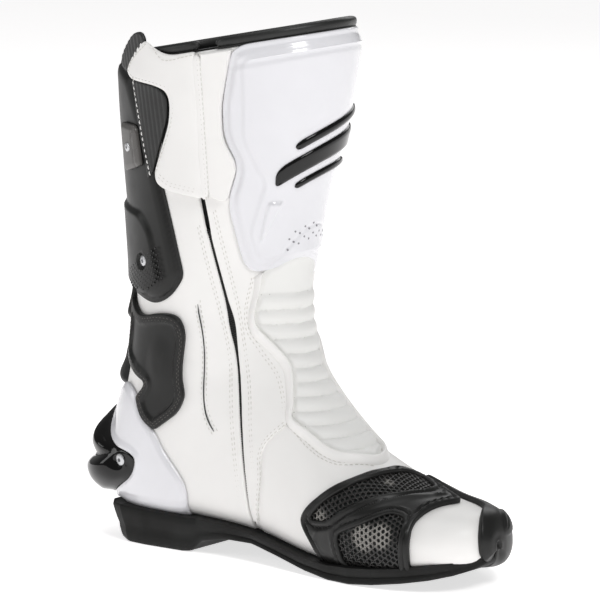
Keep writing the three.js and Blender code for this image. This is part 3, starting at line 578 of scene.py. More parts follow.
def add_node(look, kind, settings=None, inputs=None):
    """Adds a node with its settings, values and links."""
    tree = look.node_tree
    node = tree.nodes.new(kind)
    for key, value in (settings or {}).items():
        setattr(node, key, value)
    for key, value in (inputs or {}).items():
        if isinstance(value, bpy.types.NodeSocket):
            tree.links.new(value, node.inputs[key])
        else:
            node.inputs[key].default_value = value
    return node


def begin_look(name):
    """A material with an empty node tree."""
    look = bpy.data.materials.get(name)
    if look is not None:
        return look, True
    look = bpy.data.materials.new(name)
    look.use_nodes = True
    look.node_tree.nodes.clear()
    return look, False


def shade(look, color, low, high, scale, bump, depth, **shader):
    """Principled shader: colour and roughness vary with a cloud noise, and a grain noise gives the bump."""
    place = add_node(look, "ShaderNodeTexCoord").outputs["Object"]
    cloud = add_node(look, "ShaderNodeTexNoise", inputs={"Vector": place, "Scale": 45.0, "Detail": 4.0})
    darker = tuple(c * shader.pop("shadow", 0.94) for c in color)
    mix = add_node(look, "ShaderNodeMix", {"data_type": "RGBA"}, {"Factor": cloud.outputs["Fac"]})
    mix.inputs["A"].default_value = (*darker, 1)
    mix.inputs["B"].default_value = (*color, 1)
    rough = add_node(look, "ShaderNodeMapRange", inputs={"Value": cloud.outputs["Fac"], "From Min": 0.3,
                                                         "From Max": 0.7, "To Min": low, "To Max": high})
    grain = add_node(look, "ShaderNodeTexVoronoi", {"feature": "SMOOTH_F1"}, {"Vector": place, "Scale": scale})
    lump = add_node(look, "ShaderNodeBump", inputs={"Height": grain.outputs["Distance"], "Strength": bump,
                                                    "Distance": depth})
    inputs = {"Base Color": mix.outputs["Result"], "Roughness": rough.outputs["Result"],
              "Normal": lump.outputs["Normal"]}
    inputs.update(shader)
    shader_node = add_node(look, "ShaderNodeBsdfPrincipled", inputs=inputs)
    add_node(look, "ShaderNodeOutputMaterial", inputs={"Surface": shader_node.outputs["BSDF"]})
    return look


def colours():
    return bpy.context.scene.boot_colours


def sizes():
    return bpy.context.scene.boot_sizes


def coated_leather():
    """Polyurethane-coated microfibre leather: an even white with a soft sheen and grain about 0.8 mm wide."""
    look, made = begin_look("coated_leather")
    return look if made else shade(look, colours().leather, 0.40, 0.50, 1250.0, 0.10, 0.0001,
                                   **{"Coat Weight": 0.10, "Coat Roughness": 0.35})


def rib_leather():
    """The same leather over foam ribs: greyer all over, as painted shade of the recessed ribbed panel, and drier."""
    look, made = begin_look("rib_leather")
    return look if made else shade(look, colours().ribs, 0.48, 0.60, 1250.0, 0.14, 0.0001)


def gloss_moulding():
    """Injection-moulded white polyurethane: clear highlights from a polished mould."""
    look, made = begin_look("gloss_white_moulding")
    return look if made else shade(look, colours().shell, 0.16, 0.24, 400.0, 0.01, 0.00005,
                                   **{"Coat Weight": 0.55, "Coat Roughness": 0.06})


def satin_moulding():
    """Injection-moulded black elastomer: dark grey with broad highlights and a spark-eroded grain of 0.6 mm."""
    look, made = begin_look("satin_black_moulding")
    return look if made else shade(look, colours().black, 0.34, 0.46, 1700.0, 0.10, 0.00008, shadow=0.80,
                                   **{"Specular IOR Level": 0.32})


def mirror_moulding():
    """Polished black acetal: nearly a mirror, with a faint waviness."""
    look, made = begin_look("mirror_black_moulding")
    return look if made else shade(look, colours().mirror, 0.04, 0.08, 60.0, 0.01, 0.00005,
                                   **{"Specular IOR Level": 0.42})


def sole_rubber():
    """Vulcanised nitrile rubber: dull, with a grit of about 1 mm."""
    look, made = begin_look("nitrile_rubber")
    return look if made else shade(look, colours().sole, 0.50, 0.70, 1000.0, 0.25, 0.00012, shadow=0.75,
                                   **{"Specular IOR Level": 0.25})


def lining_knit():
    """Warp-knit polyester lining: soft dark loops about 1.6 mm apart with a light nap."""
    look, made = begin_look("lining_knit")
    return look if made else shade(look, colours().lining, 0.80, 0.95, 620.0, 0.6, 0.0005,
                                   **{"Sheen Weight": 0.4, "Sheen Roughness": 0.5})


def collar_skin():
    """Thin black polyurethane skin over foam: a soft shine with fine wrinkles about 1.2 mm wide."""
    look, made = begin_look("collar_skin")
    return look if made else shade(look, colours().black, 0.38, 0.52, 830.0, 0.35, 0.0002, shadow=0.7)


def zinc_plate():
    """Bright zinc-plated steel: neutral, with fine turning marks that blur its reflections."""
    look, made = begin_look("zinc_plated_steel")
    return look if made else shade(look, colours().steel, 0.28, 0.40, 2500.0, 0.05, 0.00004, Metallic=1.0)


def grey_slide():
    """Glass-filled nylon: a warm dark grey with a low, even shine."""
    look, made = begin_look("grey_nylon")
    return look if made else shade(look, colours().slide, 0.26, 0.36, 1500.0, 0.06, 0.00006)


def thread(color, name):
    """Bonded nylon thread: a soft shine broken by its twist, about 0.5 mm long."""
    look, made = begin_look(name)
    return look if made else shade(look, color, 0.45, 0.6, 2000.0, 0.3, 0.0001)


def foam_look():
    """Open-cell polyurethane foam: matt grey with pores of about 1 mm."""
    look, made = begin_look("polyurethane_foam")
    return look if made else shade(look, linear("#77777A"), 0.9, 1.0, 1000.0, 0.7, 0.0005)


def board_look():
    """Pressed cellulose board: matt tan with short dark fibres."""
    look, made = begin_look("cellulose_board")
    return look if made else shade(look, linear("#9A815C"), 0.85, 0.95, 900.0, 0.3, 0.0002, shadow=0.8)


def brushed_net():
    """Silvered knit under the honeycomb: grey and finely pitted."""
    look, made = begin_look("silvered_net")
    return look if made else shade(look, linear("#2A2928"), 0.3, 0.5, 900.0, 0.5, 0.0004, shadow=0.5)


def honeycomb_with_painted_highlights():
    """Black elastomer comb, lightened to a pale grey on the spots that the attribute marks: a painted highlight where
    the frames catch the light.
    """
    look, made = begin_look("honeycomb")
    if made:
        return look
    # Painted highlight: the attribute mixes the dark comb towards pale grey.
    painted_highlight = add_node(look, "ShaderNodeAttribute", {"attribute_name": "painted_highlight"})
    mix = add_node(look, "ShaderNodeMix", {"data_type": "RGBA"}, {"Factor": painted_highlight.outputs["Fac"]})
    mix.inputs["A"].default_value = (*linear("#302F2E"), 1)
    mix.inputs["B"].default_value = (*linear("#A3A09B"), 1)
    body = add_node(look, "ShaderNodeBsdfPrincipled", inputs={"Base Color": mix.outputs["Result"], "Roughness": 0.3})
    add_node(look, "ShaderNodeOutputMaterial", inputs={"Surface": body.outputs["BSDF"]})
    return look


# ---- the settings ----

def length_property(name, description, value):
    return bpy.props.FloatProperty(name=name, description=description, default=value, unit="LENGTH", precision=4)


def colour_property(name, description, code):
    return bpy.props.FloatVectorProperty(name=name, description=description, default=linear(code), size=3,
                                         subtype="COLOR", min=0, max=1)


class BootSizes(bpy.types.PropertyGroup):
    stitch_pitch: length_property("Stitch pitch", "From one stitch to the next", 0.0034)
    rib_height: length_property("Rib height", "Height of the instep ribs above their valleys", 0.0024)
    comb_pitch: length_property("Honeycomb pitch", "From one cell of the shift pad to the next", 0.0036)
    zip_slit: length_property("Zip slit", "Between the leather edges over the zip", 0.0018)
    tread_groove: length_property("Tread groove", "Depth of the grooves under the sole", 0.0018)


class BootColours(bpy.types.PropertyGroup):
    leather: colour_property("Leather", "Coated leather of the upper", "#F4F3F1")
    # The ribs' colour is the leather's colour painted greyer for shade.
    ribs: colour_property("Ribs", "Leather of the instep ribs", "#DCDBD7")
    shell: colour_property("Shell", "White mouldings", "#E6E6EA")
    black: colour_property("Black", "Black mouldings", "#1B1A19")
    mirror: colour_property("Polished black", "Heel bumper and shin bars", "#020202")
    sole: colour_property("Sole", "Rubber of the sole", "#151413")
    lining: colour_property("Lining", "Lining fabric", "#1C1C1D")
    steel: colour_property("Steel", "Screws", "#C9CACC")
    slide: colour_property("Slide", "Calf adjuster", "#5A5856")
    white_thread: colour_property("White thread", "Stitches on the leather", "#D9D7D2")
    black_thread: colour_property("Black thread", "Stitches on black pieces", "#57534F")
    floor: colour_property("Floor", "Studio floor", "#FFFFFF")


# ---- the pieces ----

VAMP_SEAM = [(5.9, -0.705), (6.1, -0.525), (6.3, -0.43), (6.3, -0.36), (6.1, -0.25)]


def mirrored(places):
    """The same places on the other side: every turn changes its sign."""
    return [(p[0], -p[1], *p[2:]) for p in places]




def slit_edge(side):
    """The leather's edge along the zip, wider where the zip stands open over the ankle."""
    path = zip_path(ZIP_FOOT, COLLAR, 50)
    half = sizes().zip_slit / MM / 2
    wide = 1.7 * rise(path[:, 0], 11.7, 12.0)
    gap = np.maximum(half + 1.5 * ridge(path[:, 0] - 9.15, 0.5) - 0.4 * ridge(path[:, 0] - 6.2, 0.6), wide)
    return path + across_steps(path) * (gap * side)[:, None]


def leather_folds(spot):
    """Shallow creases where the leather bends over the ankle, as sums of slow waves."""
    x, z = spot.points[:, 0], spot.points[:, 2]
    bend = ridge(z - 120, 45) * ridge(x - 95, 55)
    wave = np.sin(0.16 * z + 0.05 * x) + 0.6 * np.sin(0.29 * z - 0.11 * x + 1.0)
    proud = 0.35 * (1 - rise(spot.t, 6.3, 7.0)) * (np.abs(spot.v) < 0.93)
    return 0.16 * bend * wave + proud


class BOOT_OT_upper(bpy.types.Operator):
    """Cut and lay the leather panels of the upper"""

    bl_idname = "boot.upper"
    bl_label = "Upper"

    def execute(self, context):
        look = coated_leather()
        behind = [tuple(p) + (1.0,) for p in slit_edge(-1)]
        ahead = [tuple(p) + (1.0,) for p in slit_edge(1)]
        rear = behind + [(COLLAR, -0.999, 1), (6.0, -0.999, 1), (6.0, -0.9, 1)]
        settle(relief("upper_inner_rear", look, rear, -2, 0, cell=2.4, roll=0.8, lip=0.1, corner=1,
                      shape=leather_folds),
               "ankle", "white_leather", "quarter_medial_rear", "ankle_medial_rear", "shaft_medial_rear")
        front = ahead + [(COLLAR, -0.004, 1), (6.12, -0.004, 1), (6.16, -0.25, 2), (6.36, -0.36, 4), (6.36, -0.43, 4),
                         (6.16, -0.525, 4), (5.97, -0.705, 2), (5.92, -0.98, 1), (5.98, -0.98, 1)]
        settle(relief("upper_inner_front", look, front, -2, 0, cell=2.4, roll=0.8, lip=0.1, corner=1,
                      shape=leather_folds),
               "ankle", "white_leather", "quarter_medial_front", "ankle_medial_front", "shaft_medial_front")
        outer = [(COLLAR, 0.004, 1), (COLLAR, 0.999, 1), (6.0, 0.999, 1), (5.92, 0.98, 1), (5.97, 0.705, 2),
                 (6.16, 0.525, 4), (6.36, 0.43, 4), (6.36, 0.36, 4), (6.16, 0.25, 2), (6.12, 0.004, 1)]
        settle(relief("upper_outer", look, outer, -2, 0, cell=2.6, roll=0.8, lip=0.1, shape=leather_folds),
               "ankle", "white_leather", "quarter_lateral", "ankle_lateral", "shaft_lateral")
        lap = [(t + 0.16, v) for t, v in VAMP_SEAM]
        seam = [(6.3, 0.0, 2)] + mirrored(lap[::-1]) + [(6.02, 0.985, 2), (0.34, 0.985, 2), (0.34, -0.985, 2),
                                                  (6.02, -0.985, 2)] + lap
        tuck = lambda spot: -1.1 * (1 - rise(spot.edge, 3.6, 5.2)) * (spot.t > 5)
        settle(relief("vamp", look, seam, -2.6, 0, cell=2.4, roll=0.8, lip=0.1, shape=tuck), "foot", "white_leather",
               "vamp")
        return {"FINISHED"}


class BOOT_OT_stitches(bpy.types.Operator):
    """Sew the rows along the zip, the seams, the flap and the slit beside the zip"""

    bl_idname = "boot.stitches"
    bl_label = "Stitches"

    def execute(self, context):
        pitch = sizes().stitch_pitch / MM
        pale = thread(colours().white_thread, "white_thread")
        path = zip_path(6.3, 12.2, 40)
        rows = [path + across_steps(path) * d for d in (6.4, 8.1, -5.2, -6.9)]
        slit = [(10.45, -0.405), (9.0, -0.36), (7.5, -0.465)]
        rows += [beside(slit, 2.2), beside(slit, -2.2)]
        for side in (-1, 1):
            edge = [(9.95, side * 0.175), (9.4, side * 0.19), (8.75, side * 0.19), (8.0, side * 0.165),
                    (7.2, side * 0.155), (6.65, side * 0.185), (6.2, side * 0.25)]
            rows += [edge, beside(edge, 1.9)]
        settle(stitching("ankle_stitches", pale, rows, pitch=pitch), "ankle", None)
        seam = smooth_path(VAMP_SEAM, 4)
        rows = [seam - across_steps(seam) * d for d in (2.0, 3.8)]
        other = smooth_path(mirrored(VAMP_SEAM), 4)
        rows += [other + across_steps(other) * d for d in (2.0, 3.8)]
        for side in (-1, 1):
            lap = [(6.0, side * 0.24), (5.45, side * 0.235), (4.9, side * 0.215), (4.5, side * 0.175),
                   (4.1, side * 0.06)]
            rows += [lap, beside(lap, 1.9)]
        settle(stitching("vamp_stitches", pale, rows, depth=0.3, pitch=pitch), "foot", None)
        dark = band("stretch_slit", lining_knit(), slit, ellipse(0, 0.3, 0.5, 0.35, 8), step=3, taper=3)
        settle(dark, "ankle", "black_fabric")
        lateral = [(14.6, 0.42), (12.5, 0.40), (10.6, 0.36), (9.0, 0.34), (7.6, 0.42), (6.7, 0.62), (6.2, 0.8)]
        settle(stitching("outer_stitches", pale, [lateral, beside(lateral, 2.0)], pitch=pitch), "ankle", None)
        welt = band("outer_seam", coated_leather(), beside(lateral, -1.6), ellipse(0, 0.0, 0.8, 0.45, 8),
                    step=4, taper=4)
        settle(welt, "ankle", "white_leather")
        return {"FINISHED"}


RIB_VALLEYS = np.array([70, 76.5, 83, 90.5, 98.5, 107, 115.5, 124, 133, 142.5, 152, 161.5, 171.5])


def rib_wave(z):
    """Rib height share between 0 in the sewn valleys and 1 on the crests, by the height above the ground."""
    phase = np.interp(z, np.concatenate([[40], RIB_VALLEYS, [220]]), [0.5, *range(1, 14), 13.5])
    return np.abs(np.sin(np.pi * phase)) ** 0.5


ACCORDION = [
    (9.95, -0.15), (9.5, -0.152), (8.95, -0.168), (8.55, -0.162), (7.9, -0.128), (7.2, -0.107), (6.75, -0.127),
    (6.35, -0.175), (6.1, -0.222), (5.5, -0.2), (4.85, -0.175), (4.45, -0.12), (4.15, 0.0), (4.5, 0.13), (5.3, 0.18),
    (6.0, 0.11), (6.7, 0.06), (7.3, 0.075), (8.0, 0.12), (9.0, 0.14), (9.95, 0.15),
]


class BOOT_OT_instep(bpy.types.Operator):
    """Quilt the instep ribs and lap the leather edge over them"""

    bl_idname = "boot.instep"
    bl_label = "Instep ribs"

    def execute(self, context):
        height = sizes().rib_height / MM

        def ribs(spot):
            fill = rib_wave(spot.points[:, 2]) * rise(spot.edge, 0.5, 4.0)
            return height * (fill - 1)

        piece = relief("accordion_front", rib_leather(), ACCORDION, 0.2, 3.4, cell=1.25, roll=0.8, lip=0.2, corner=4,
                       shape=ribs)
        settle(piece, "ankle", "rib_leather", "accordion_front")
        grey = thread(linear("#A9A7A2"), "rib_thread")
        rows = []
        ring = rounded_ring(ACCORDION, 4)
        heights = np.linspace(4.0, 10.2, 160)
        for valley in RIB_VALLEYS[1:]:
            turns = np.linspace(-0.2, 0.16, 50)
            t = np.array([np.interp(valley, on_skin(heights, v)[:, 2], heights) for v in turns])
            within = is_inside(t - 0.02, turns - 0.012, ring) & is_inside(t + 0.02, turns + 0.012, ring)
            if within.sum() > 5:
                rows.append(np.stack([t[within], turns[within]], 1)[::4])
        settle(stitching("rib_stitches", grey, rows, depth=1.15, pitch=2.6, length=1.5, radius=0.22), "ankle", None)
        lap = [(-4.8, 0.0), (-4.6, 0.5), (-2.2, 2.2), (-0.4, 3.9), (0.5, 4.0), (1.1, 3.3), (1.1, 1.0), (0.8, 0.0)]
        settle(band("instep_lap", coated_leather(), ACCORDION, [(-a, b) for a, b in lap], step=2.2, crease=60),
               "ankle", "white_leather")
        return {"FINISHED"}


SHIN = [
    (15.03, -0.33), (14.15, -0.36), (13.6, -0.352), (13.0, -0.295), (12.35, -0.32), (11.5, -0.272), (10.6, -0.225),
    (10.05, -0.17), (9.6, -0.03), (9.35, 0.08), (9.5, 0.18), (10.1, 0.25), (11.0, 0.28), (12.35, 0.32), (13.0, 0.295),
    (13.6, 0.352), (14.15, 0.36), (15.03, 0.33),
]
PLATEAU = [(14.8, -0.30), (14.1, -0.29), (13.5, -0.285), (12.75, -0.225), (12.45, -0.19), (11.75, -0.205),
           (11.3, -0.215), (10.35, -0.155), (9.9, -0.02)]


class BOOT_OT_shin(bpy.types.Operator):
    """Mould the shin plate with its border and facets, and fix the bars on it"""

    bl_idname = "boot.shin"
    bl_label = "Shin plate"

    def execute(self, context):
        plateau = PLATEAU + mirrored(PLATEAU)[::-1]

        def form(spot):
            flange = -2.2 * (1 - rise(spot.edge, 3.0, 6.5))
            raised = 1.5 * rise(spot.inside(plateau, 6), -1.2, 1.2)
            top = -0.8 * ridge(15.0 - spot.t - 0.28, 0.05) * rise(spot.edge, 3, 6)
            fold = 1.6 * rise(spot.inside([(11.9, -0.17), (11.75, -0.12), (11.2, -0.15), (10.9, -0.175),
                                           (11.3, -0.175)], 2), -0.6, 0.8)
            lower = -0.6 * rise(-spot.from_path([(9.9, -0.12), (10.35, -0.07), (10.75, 0.0), (10.75, 0.12)]), -1.6, 0)
            return flange + raised + top + fold + lower

        plate = relief("shin_plate", gloss_moulding(), SHIN, 0.4, 4.4, cell=1.3, roll=1.0, lip=0.4,
                       corner=9, shape=form)
        settle(plate, "leg", "white_plastic", "shin_plate")
        # Each bar: its station at the inner end, its thickness in stations, and its end turns.
        bars = {"lower": (11.98, 0.17, -0.10, 0.15), "middle": (12.22, 0.42, -0.17, 0.21),
                "upper": (12.92, 0.17, -0.125, 0.19)}
        for place, (t, thick, start, end) in bars.items():
            climb = lambda v: 2.1 * (v - start)
            bar = [(t, start + 0.012, 3), (t + thick, start, 8), (t + thick + climb(0.12), 0.12, 6),
                   (t + thick + climb(end), end, 2), (t + climb(end), end, 2), (t + climb(0.12), 0.12, 6)]
            top = lambda spot: 0.7 * rise(spot.edge, 0.6, 2.2)
            piece = relief(f"shin_bar_{place}", mirror_moulding(), bar, 4.2, 7.3, cell=1.1, roll=0.7,
                           lip=0.5, shape=top)
            settle(piece, "leg", "black_gloss", f"shin_bar_{place}")
        holes = [(10.25 + 0.16 * row + 0.05 * col, -0.075 + 0.032 * col + 0.016 * (row % 2))
                 for row in range(4) for col in range(6 - row)]
        at = np.array(holes)
        shape = tube_stamp([-1.4, 0.12], [0.7, 0.7], [0, 0])
        points, quads = shape[0][:, [1, 2, 0]], shape[1]
        made = stamp(points, quads, *frames_on(at[:, 0], at[:, 1], 5.93))
        settle(make_piece("shin_vents", thread(linear("#8E8D92"), "vent_shade"), made[0], [made[1]]), "leg",
               "white_plastic")
        return {"FINISHED"}


CALF_INNER = [(15.1, -0.86, 3), (14.85, -0.725, 6), (14.3, -0.66), (13.7, -0.615), (13.15, -0.59), (11.32, -0.482, 6),
              (11.12, -0.535, 8), (11.22, -0.62, 8), (11.8, -0.775), (12.0, -0.88), (12.05, -0.95)]
CALF_PLATEAU = [(13.42, -0.97), (13.35, -0.87), (12.98, -0.70), (12.6, -0.645), (11.58, -0.59), (11.55, -0.68),
                (12.1, -0.83), (12.3, -0.95)]


def round_rear(inner, radius=None):
    """An inner-side outline run on round the rear to its mirror image."""
    return inner + [(p[0], -2 - p[1], *p[2:]) for p in inner[::-1]]


class BOOT_OT_calf(bpy.types.Operator):
    """Mould the calf plate with its bevelled border and textured foot, its lip, slide and screws"""

    bl_idname = "boot.calf"
    bl_label = "Calf plate"

    def execute(self, context):
        black = satin_moulding()
        plateau = round_rear(CALF_PLATEAU)

        def form(spot):
            flange = -1.9 * (1 - rise(spot.edge, 2.4, 3.6)) - 0.7 * ridge(spot.edge - 3.4, 0.8)
            bevel = -1.0 + 1.0 * rise(spot.edge, 3.5, 9)
            raised = 2.2 * rise(spot.inside(plateau, 6), -1.0, 2.5)
            crown = 1.8 * rise(spot.t, 13.9, 14.6) * ridge(np.abs(spot.v + 1), 0.14)
            wells = 0
            for side in (-0.695, -1.305):
                up, round_ = spot.local(12.2, side)
                wells = wells - 2.2 * (1 - rise(np.hypot(up, round_), 4.4, 5.4))
            return flange + bevel + raised + crown + wells

        plate = relief("calf_plate", black, round_rear(CALF_INNER), 0.4, 3.6, cell=1.35, roll=0.8, lip=0.5, corner=8,
                       shape=form)
        settle(plate, "leg", "black_plastic", "calf_plate")
        for side, place in ((-1, "medial"), (1, "lateral")):
            head = screw(f"calf_screw_{place}", zinc_plate(), 12.2, side * 0.695, 3.4)
            settle(head, "leg", "steel", f"calf_plate_screw_{place}")
        lip = round_rear([(12.5, -0.84, 3), (11.6, -0.86, 3), (11.52, -0.93, 3)])
        settle(relief("calf_lip", black, lip, 0.4, 2.6, cell=1.6, roll=1.0, lip=0.4, corner=4,
                      shape=lambda spot: 3.4 * ridge(spot.t - 11.55, 0.35)), "leg", "black_plastic")
        dots = []
        for side in (-1, 1):
            for row in range(11):
                for col in range(11):
                    t = 11.62 + 0.062 * row
                    v = -0.575 - 0.0185 * (col + 0.5 * (row % 2)) - 0.012 * row * 0.3
                    away = on_skin(t, v) - on_skin(12.2, -0.695)
                    if np.linalg.norm(away) > 6.6 and v > -0.80 - 0.12 * (t - 11.6) and v > -0.60 - 0.36 * (t - 11.45):
                        dots.append((t, side * -v if side > 0 else v))
        at = np.array(dots)
        shape = tube_stamp([-0.5, 0.0, 0.28], [0.78, 0.78, 0.55], [0, 0, 0])
        made = stamp(shape[0][:, [1, 2, 0]], shape[1], *frames_on(at[:, 0], at[:, 1], 5.75))
        settle(make_piece("calf_grip", mirror_moulding(), made[0], [made[1]]), "leg", "black_plastic")
        block = [(14.32, -0.775, 3), (14.22, -0.682, 4), (13.66, -0.668, 3), (13.68, -0.765, 3)]

        def block_form(spot):
            split = -0.5 * ridge(spot.from_path([(14.3, -0.702), (13.65, -0.69)]), 0.6)
            return 0.9 * rise(spot.edge, 0.8, 3.0) + split

        slide = relief("calf_adjuster", grey_slide(), block, 4.0, 6.6, cell=1.0, roll=0.8, lip=0.5, shape=block_form)
        settle(slide, "adjuster", "grey_plastic", "calf_adjuster")
        head = screw("calf_adjuster_screw", zinc_plate(), 13.98, -0.722, 7.2, radius=2.9, socket=1.1)
        settle(head, "leg", "steel", "calf_adjuster_screw")
        return {"FINISHED"}


FLAP = [(15.42, -0.628, 4), (15.03, -0.55, 12), (15.06, -0.455, 3)]
FLAP_REAR = [(12.78, -0.448, 6), (13.12, -0.565, 5), (13.3, -0.607, 4), (13.48, -0.612, 4),
             (14.15, -0.537, 8), (14.5, -0.532, 9), (14.64, -0.585, 9), (14.78, -0.70, 4), (14.9, -0.722, 4)]


class BOOT_OT_flap(bpy.types.Operator):
    """Cut the closure flap with its ribbed insert and pull tab, and the strip that it hangs from"""

    bl_idname = "boot.flap"
    bl_label = "Closure flap"

    def execute(self, context):
        leather = coated_leather()
        hinge_t = np.linspace(14.98, 12.64, 12)
        hinge = np.stack([hinge_t, on_line(hinge_t, *HINGE_LINE)], 1)
        steps = across_steps(hinge)
        back = hinge + steps * (1.4 if (hinge + steps)[0, 1] < hinge[0, 1] else -1.4)
        ahead = hinge - (back - hinge) * 1.9
        outline = FLAP[:2] + [(15.04, back[0, 1], 1)] + [tuple(p) + (1,) for p in back] + FLAP_REAR
        soft = lambda spot: 0.35 * rise(spot.edge, 0.5, 5) + 0.25 * np.sin(0.09 * spot.points[:, 2])
        settle(relief("closure_flap", leather, outline, 2.6, 4.8, cell=1.7, roll=0.9, lip=0.3, shape=soft),
               "flap", "white_leather", "closure_flap")
        insert = [(14.77, -0.70, 2), (14.62, -0.58, 6), (14.47, -0.545, 5), (14.2, -0.548, 4), (13.5, -0.622, 2),
                  (13.42, -0.648, 2)]
        ribs = lambda spot: 0.45 * np.abs(np.sin(np.pi * (spot.v * 150 + spot.t * 3.0) / 2.6))
        settle(relief("flap_ribbed_insert", collar_skin(), insert, 2.6, 3.9, cell=0.75, roll=0.5, lip=0.3, corner=3,
                      shape=ribs), "flap", "black_fabric", "flap_ribbed_insert")
        tab = [(14.86, -0.705, 2), (15.0, -0.765, 4), (15.14, -0.752, 6), (15.62, -0.668, 7), (15.6, -0.632, 4),
               (15.38, -0.618, 2)]
        settle(relief("flap_pull_tab", collar_skin(), tab, 2.4, 4.3, cell=0.9, roll=0.7, lip=0.3, corner=3, shape=ribs),
               "flap", "black_plastic", "flap_pull_tab")
        white = thread(linear("#F2F1EE"), "bright_thread")
        settle(stitching("insert_stitches", white, [[(14.73, -0.688), (14.1, -0.662), (13.5, -0.636)]], depth=4.25,
                         pitch=3.6, length=2.9, radius=0.42), "flap", None)
        pale = thread(colours().white_thread, "white_thread")
        edge = [(15.3, -0.615), (14.95, -0.70), (14.78, -0.682)]
        low = [(12.88, -0.45), (13.0, -0.49), (13.18, -0.55), (13.36, -0.588)]
        rows = [edge, low, beside(low, 1.9), [(13.5, -0.60), (14.1, -0.53), (14.5, -0.522),
                 (14.66, -0.575), (14.8, -0.68)],
                [(15.28, -0.59), (14.98, -0.545), (14.99, -0.45)]]
        settle(stitching("flap_stitches", pale, rows, depth=5.05, pitch=3.2, radius=0.24), "flap", None)
        front = [(12.38, -0.325, 2), (12.5, -0.36, 2)] + [tuple(p) + (1,) for p in ahead[::-1]] + [
            (14.99, ahead[0, 1], 1), (14.99, -0.33, 1), (14.15, -0.362, 6), (13.6, -0.355, 6), (13.0, -0.298, 6),
            (12.4, -0.318, 4)]
        settle(relief("flap_anchor", leather, front, 0.4, 4.7, cell=1.7, roll=0.8, lip=0.1), "leg", "white_leather",
               "flap_anchor")
        fold = band("flap_fold", leather, hinge, ellipse(0, 4.2, 3.4, 0.75, 14), step=3, taper=1, crease=80)
        near = on_skin(14, on_line([14.0], *HINGE_LINE)[0], 4)
        way = on_skin(*back[4], 4) - on_skin(*ahead[4], 4)
        way /= np.linalg.norm(way)
        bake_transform(fold)
        settle(stitching("flap_seam_stitches", pale, [beside(ahead, 1.8), beside(ahead, -0.1)], depth=4.75, pitch=3.2,
                         radius=0.24), "leg", None)
        return {"FINISHED"}


GUARD = [
    (11.9, -0.845, 3), (11.28, -0.715, 7), (10.98, -0.59, 8), (10.58, -0.492, 8), (10.05, -0.447, 8), (8.65, -0.458, 5),
    (8.48, -0.505, 6), (8.68, -0.61, 2), (9.75, -0.69, 2), (9.8, -0.635, 5), (10.9, -0.83, 5),
]


class BOOT_OT_ankle(bpy.types.Operator):
    """Mould the ankle guards with their sewn borders, and the scales over the tendon"""

    bl_idname = "boot.ankle"
    bl_label = "Ankle guards"

    def execute(self, context):
        black = satin_moulding()
        grey = thread(colours().black_thread, "black_thread")
        for side, place in ((1, "medial"), (-1, "lateral")):
            outline = [(p[0], p[1] * side, p[2]) for p in GUARD]

            def form(spot, side=side):
                field = -1.3 * rise(spot.edge, 5.2, 6.4) + 0.35 * ridge(spot.edge - 4.9, 0.7)
                up, round_ = spot.local(9.9, -0.57 * side)
                dome = 1.5 * (1 - rise(np.hypot(up / 22, round_ / 12), 0.2, 1.0))
                return field + dome

            guard = relief(f"ankle_guard_{place}", black, outline, 0.4, 3.6, cell=1.25, roll=0.9, lip=0.4, shape=form)
            settle(guard, "ankle", "black_plastic", f"ankle_guard_{place}")
            rows = []
            for distance in (2.2, 3.8):
                ring = inset(rounded_ring(outline, 6), distance)
                rows.append(np.vstack([ring, ring[:1]])[::3])
            settle(stitching(f"ankle_guard_stitches_{place}", grey, rows, depth=3.6, pitch=2.8, length=1.9, radius=0.2),
                   "ankle", None)
        scale = round_rear([(11.9, -0.86, 3), (11.3, -0.80, 4), (10.9, -0.835, 4), (10.55, -0.90, 4), (10.5, -0.95, 3)])
        lips = lambda spot: 3.6 * ridge(spot.t - 10.6, 0.3) + 0.8 * np.sin(spot.t * 9) ** 2
        settle(relief("tendon_scales", black, scale, 0.4, 2.2, cell=1.6, roll=1.0, lip=0.4, shape=lips), "ankle",
               "black_plastic", "achilles_scale_upper", "achilles_scale_lower")
        return {"FINISHED"}


CUP = [(10.5, -0.93, 6), (10.38, -0.81, 6), (10.25, -0.765, 6), (9.75, -0.685, 9), (8.7, -0.608, 9), (7.8, -0.642, 9),
       (7.33, -0.71, 9), (7.1, -0.88, 4), (7.3, -0.97, 4)]
BUMPER = [(10.3, -0.96, 5), (10.2, -0.93, 6), (9.9, -0.888, 9), (9.3, -0.792, 9), (8.85, -0.722, 9), (8.5, -0.708, 8),
          (8.34, -0.765, 8), (8.6, -0.88, 9), (8.78, -0.95, 6)]


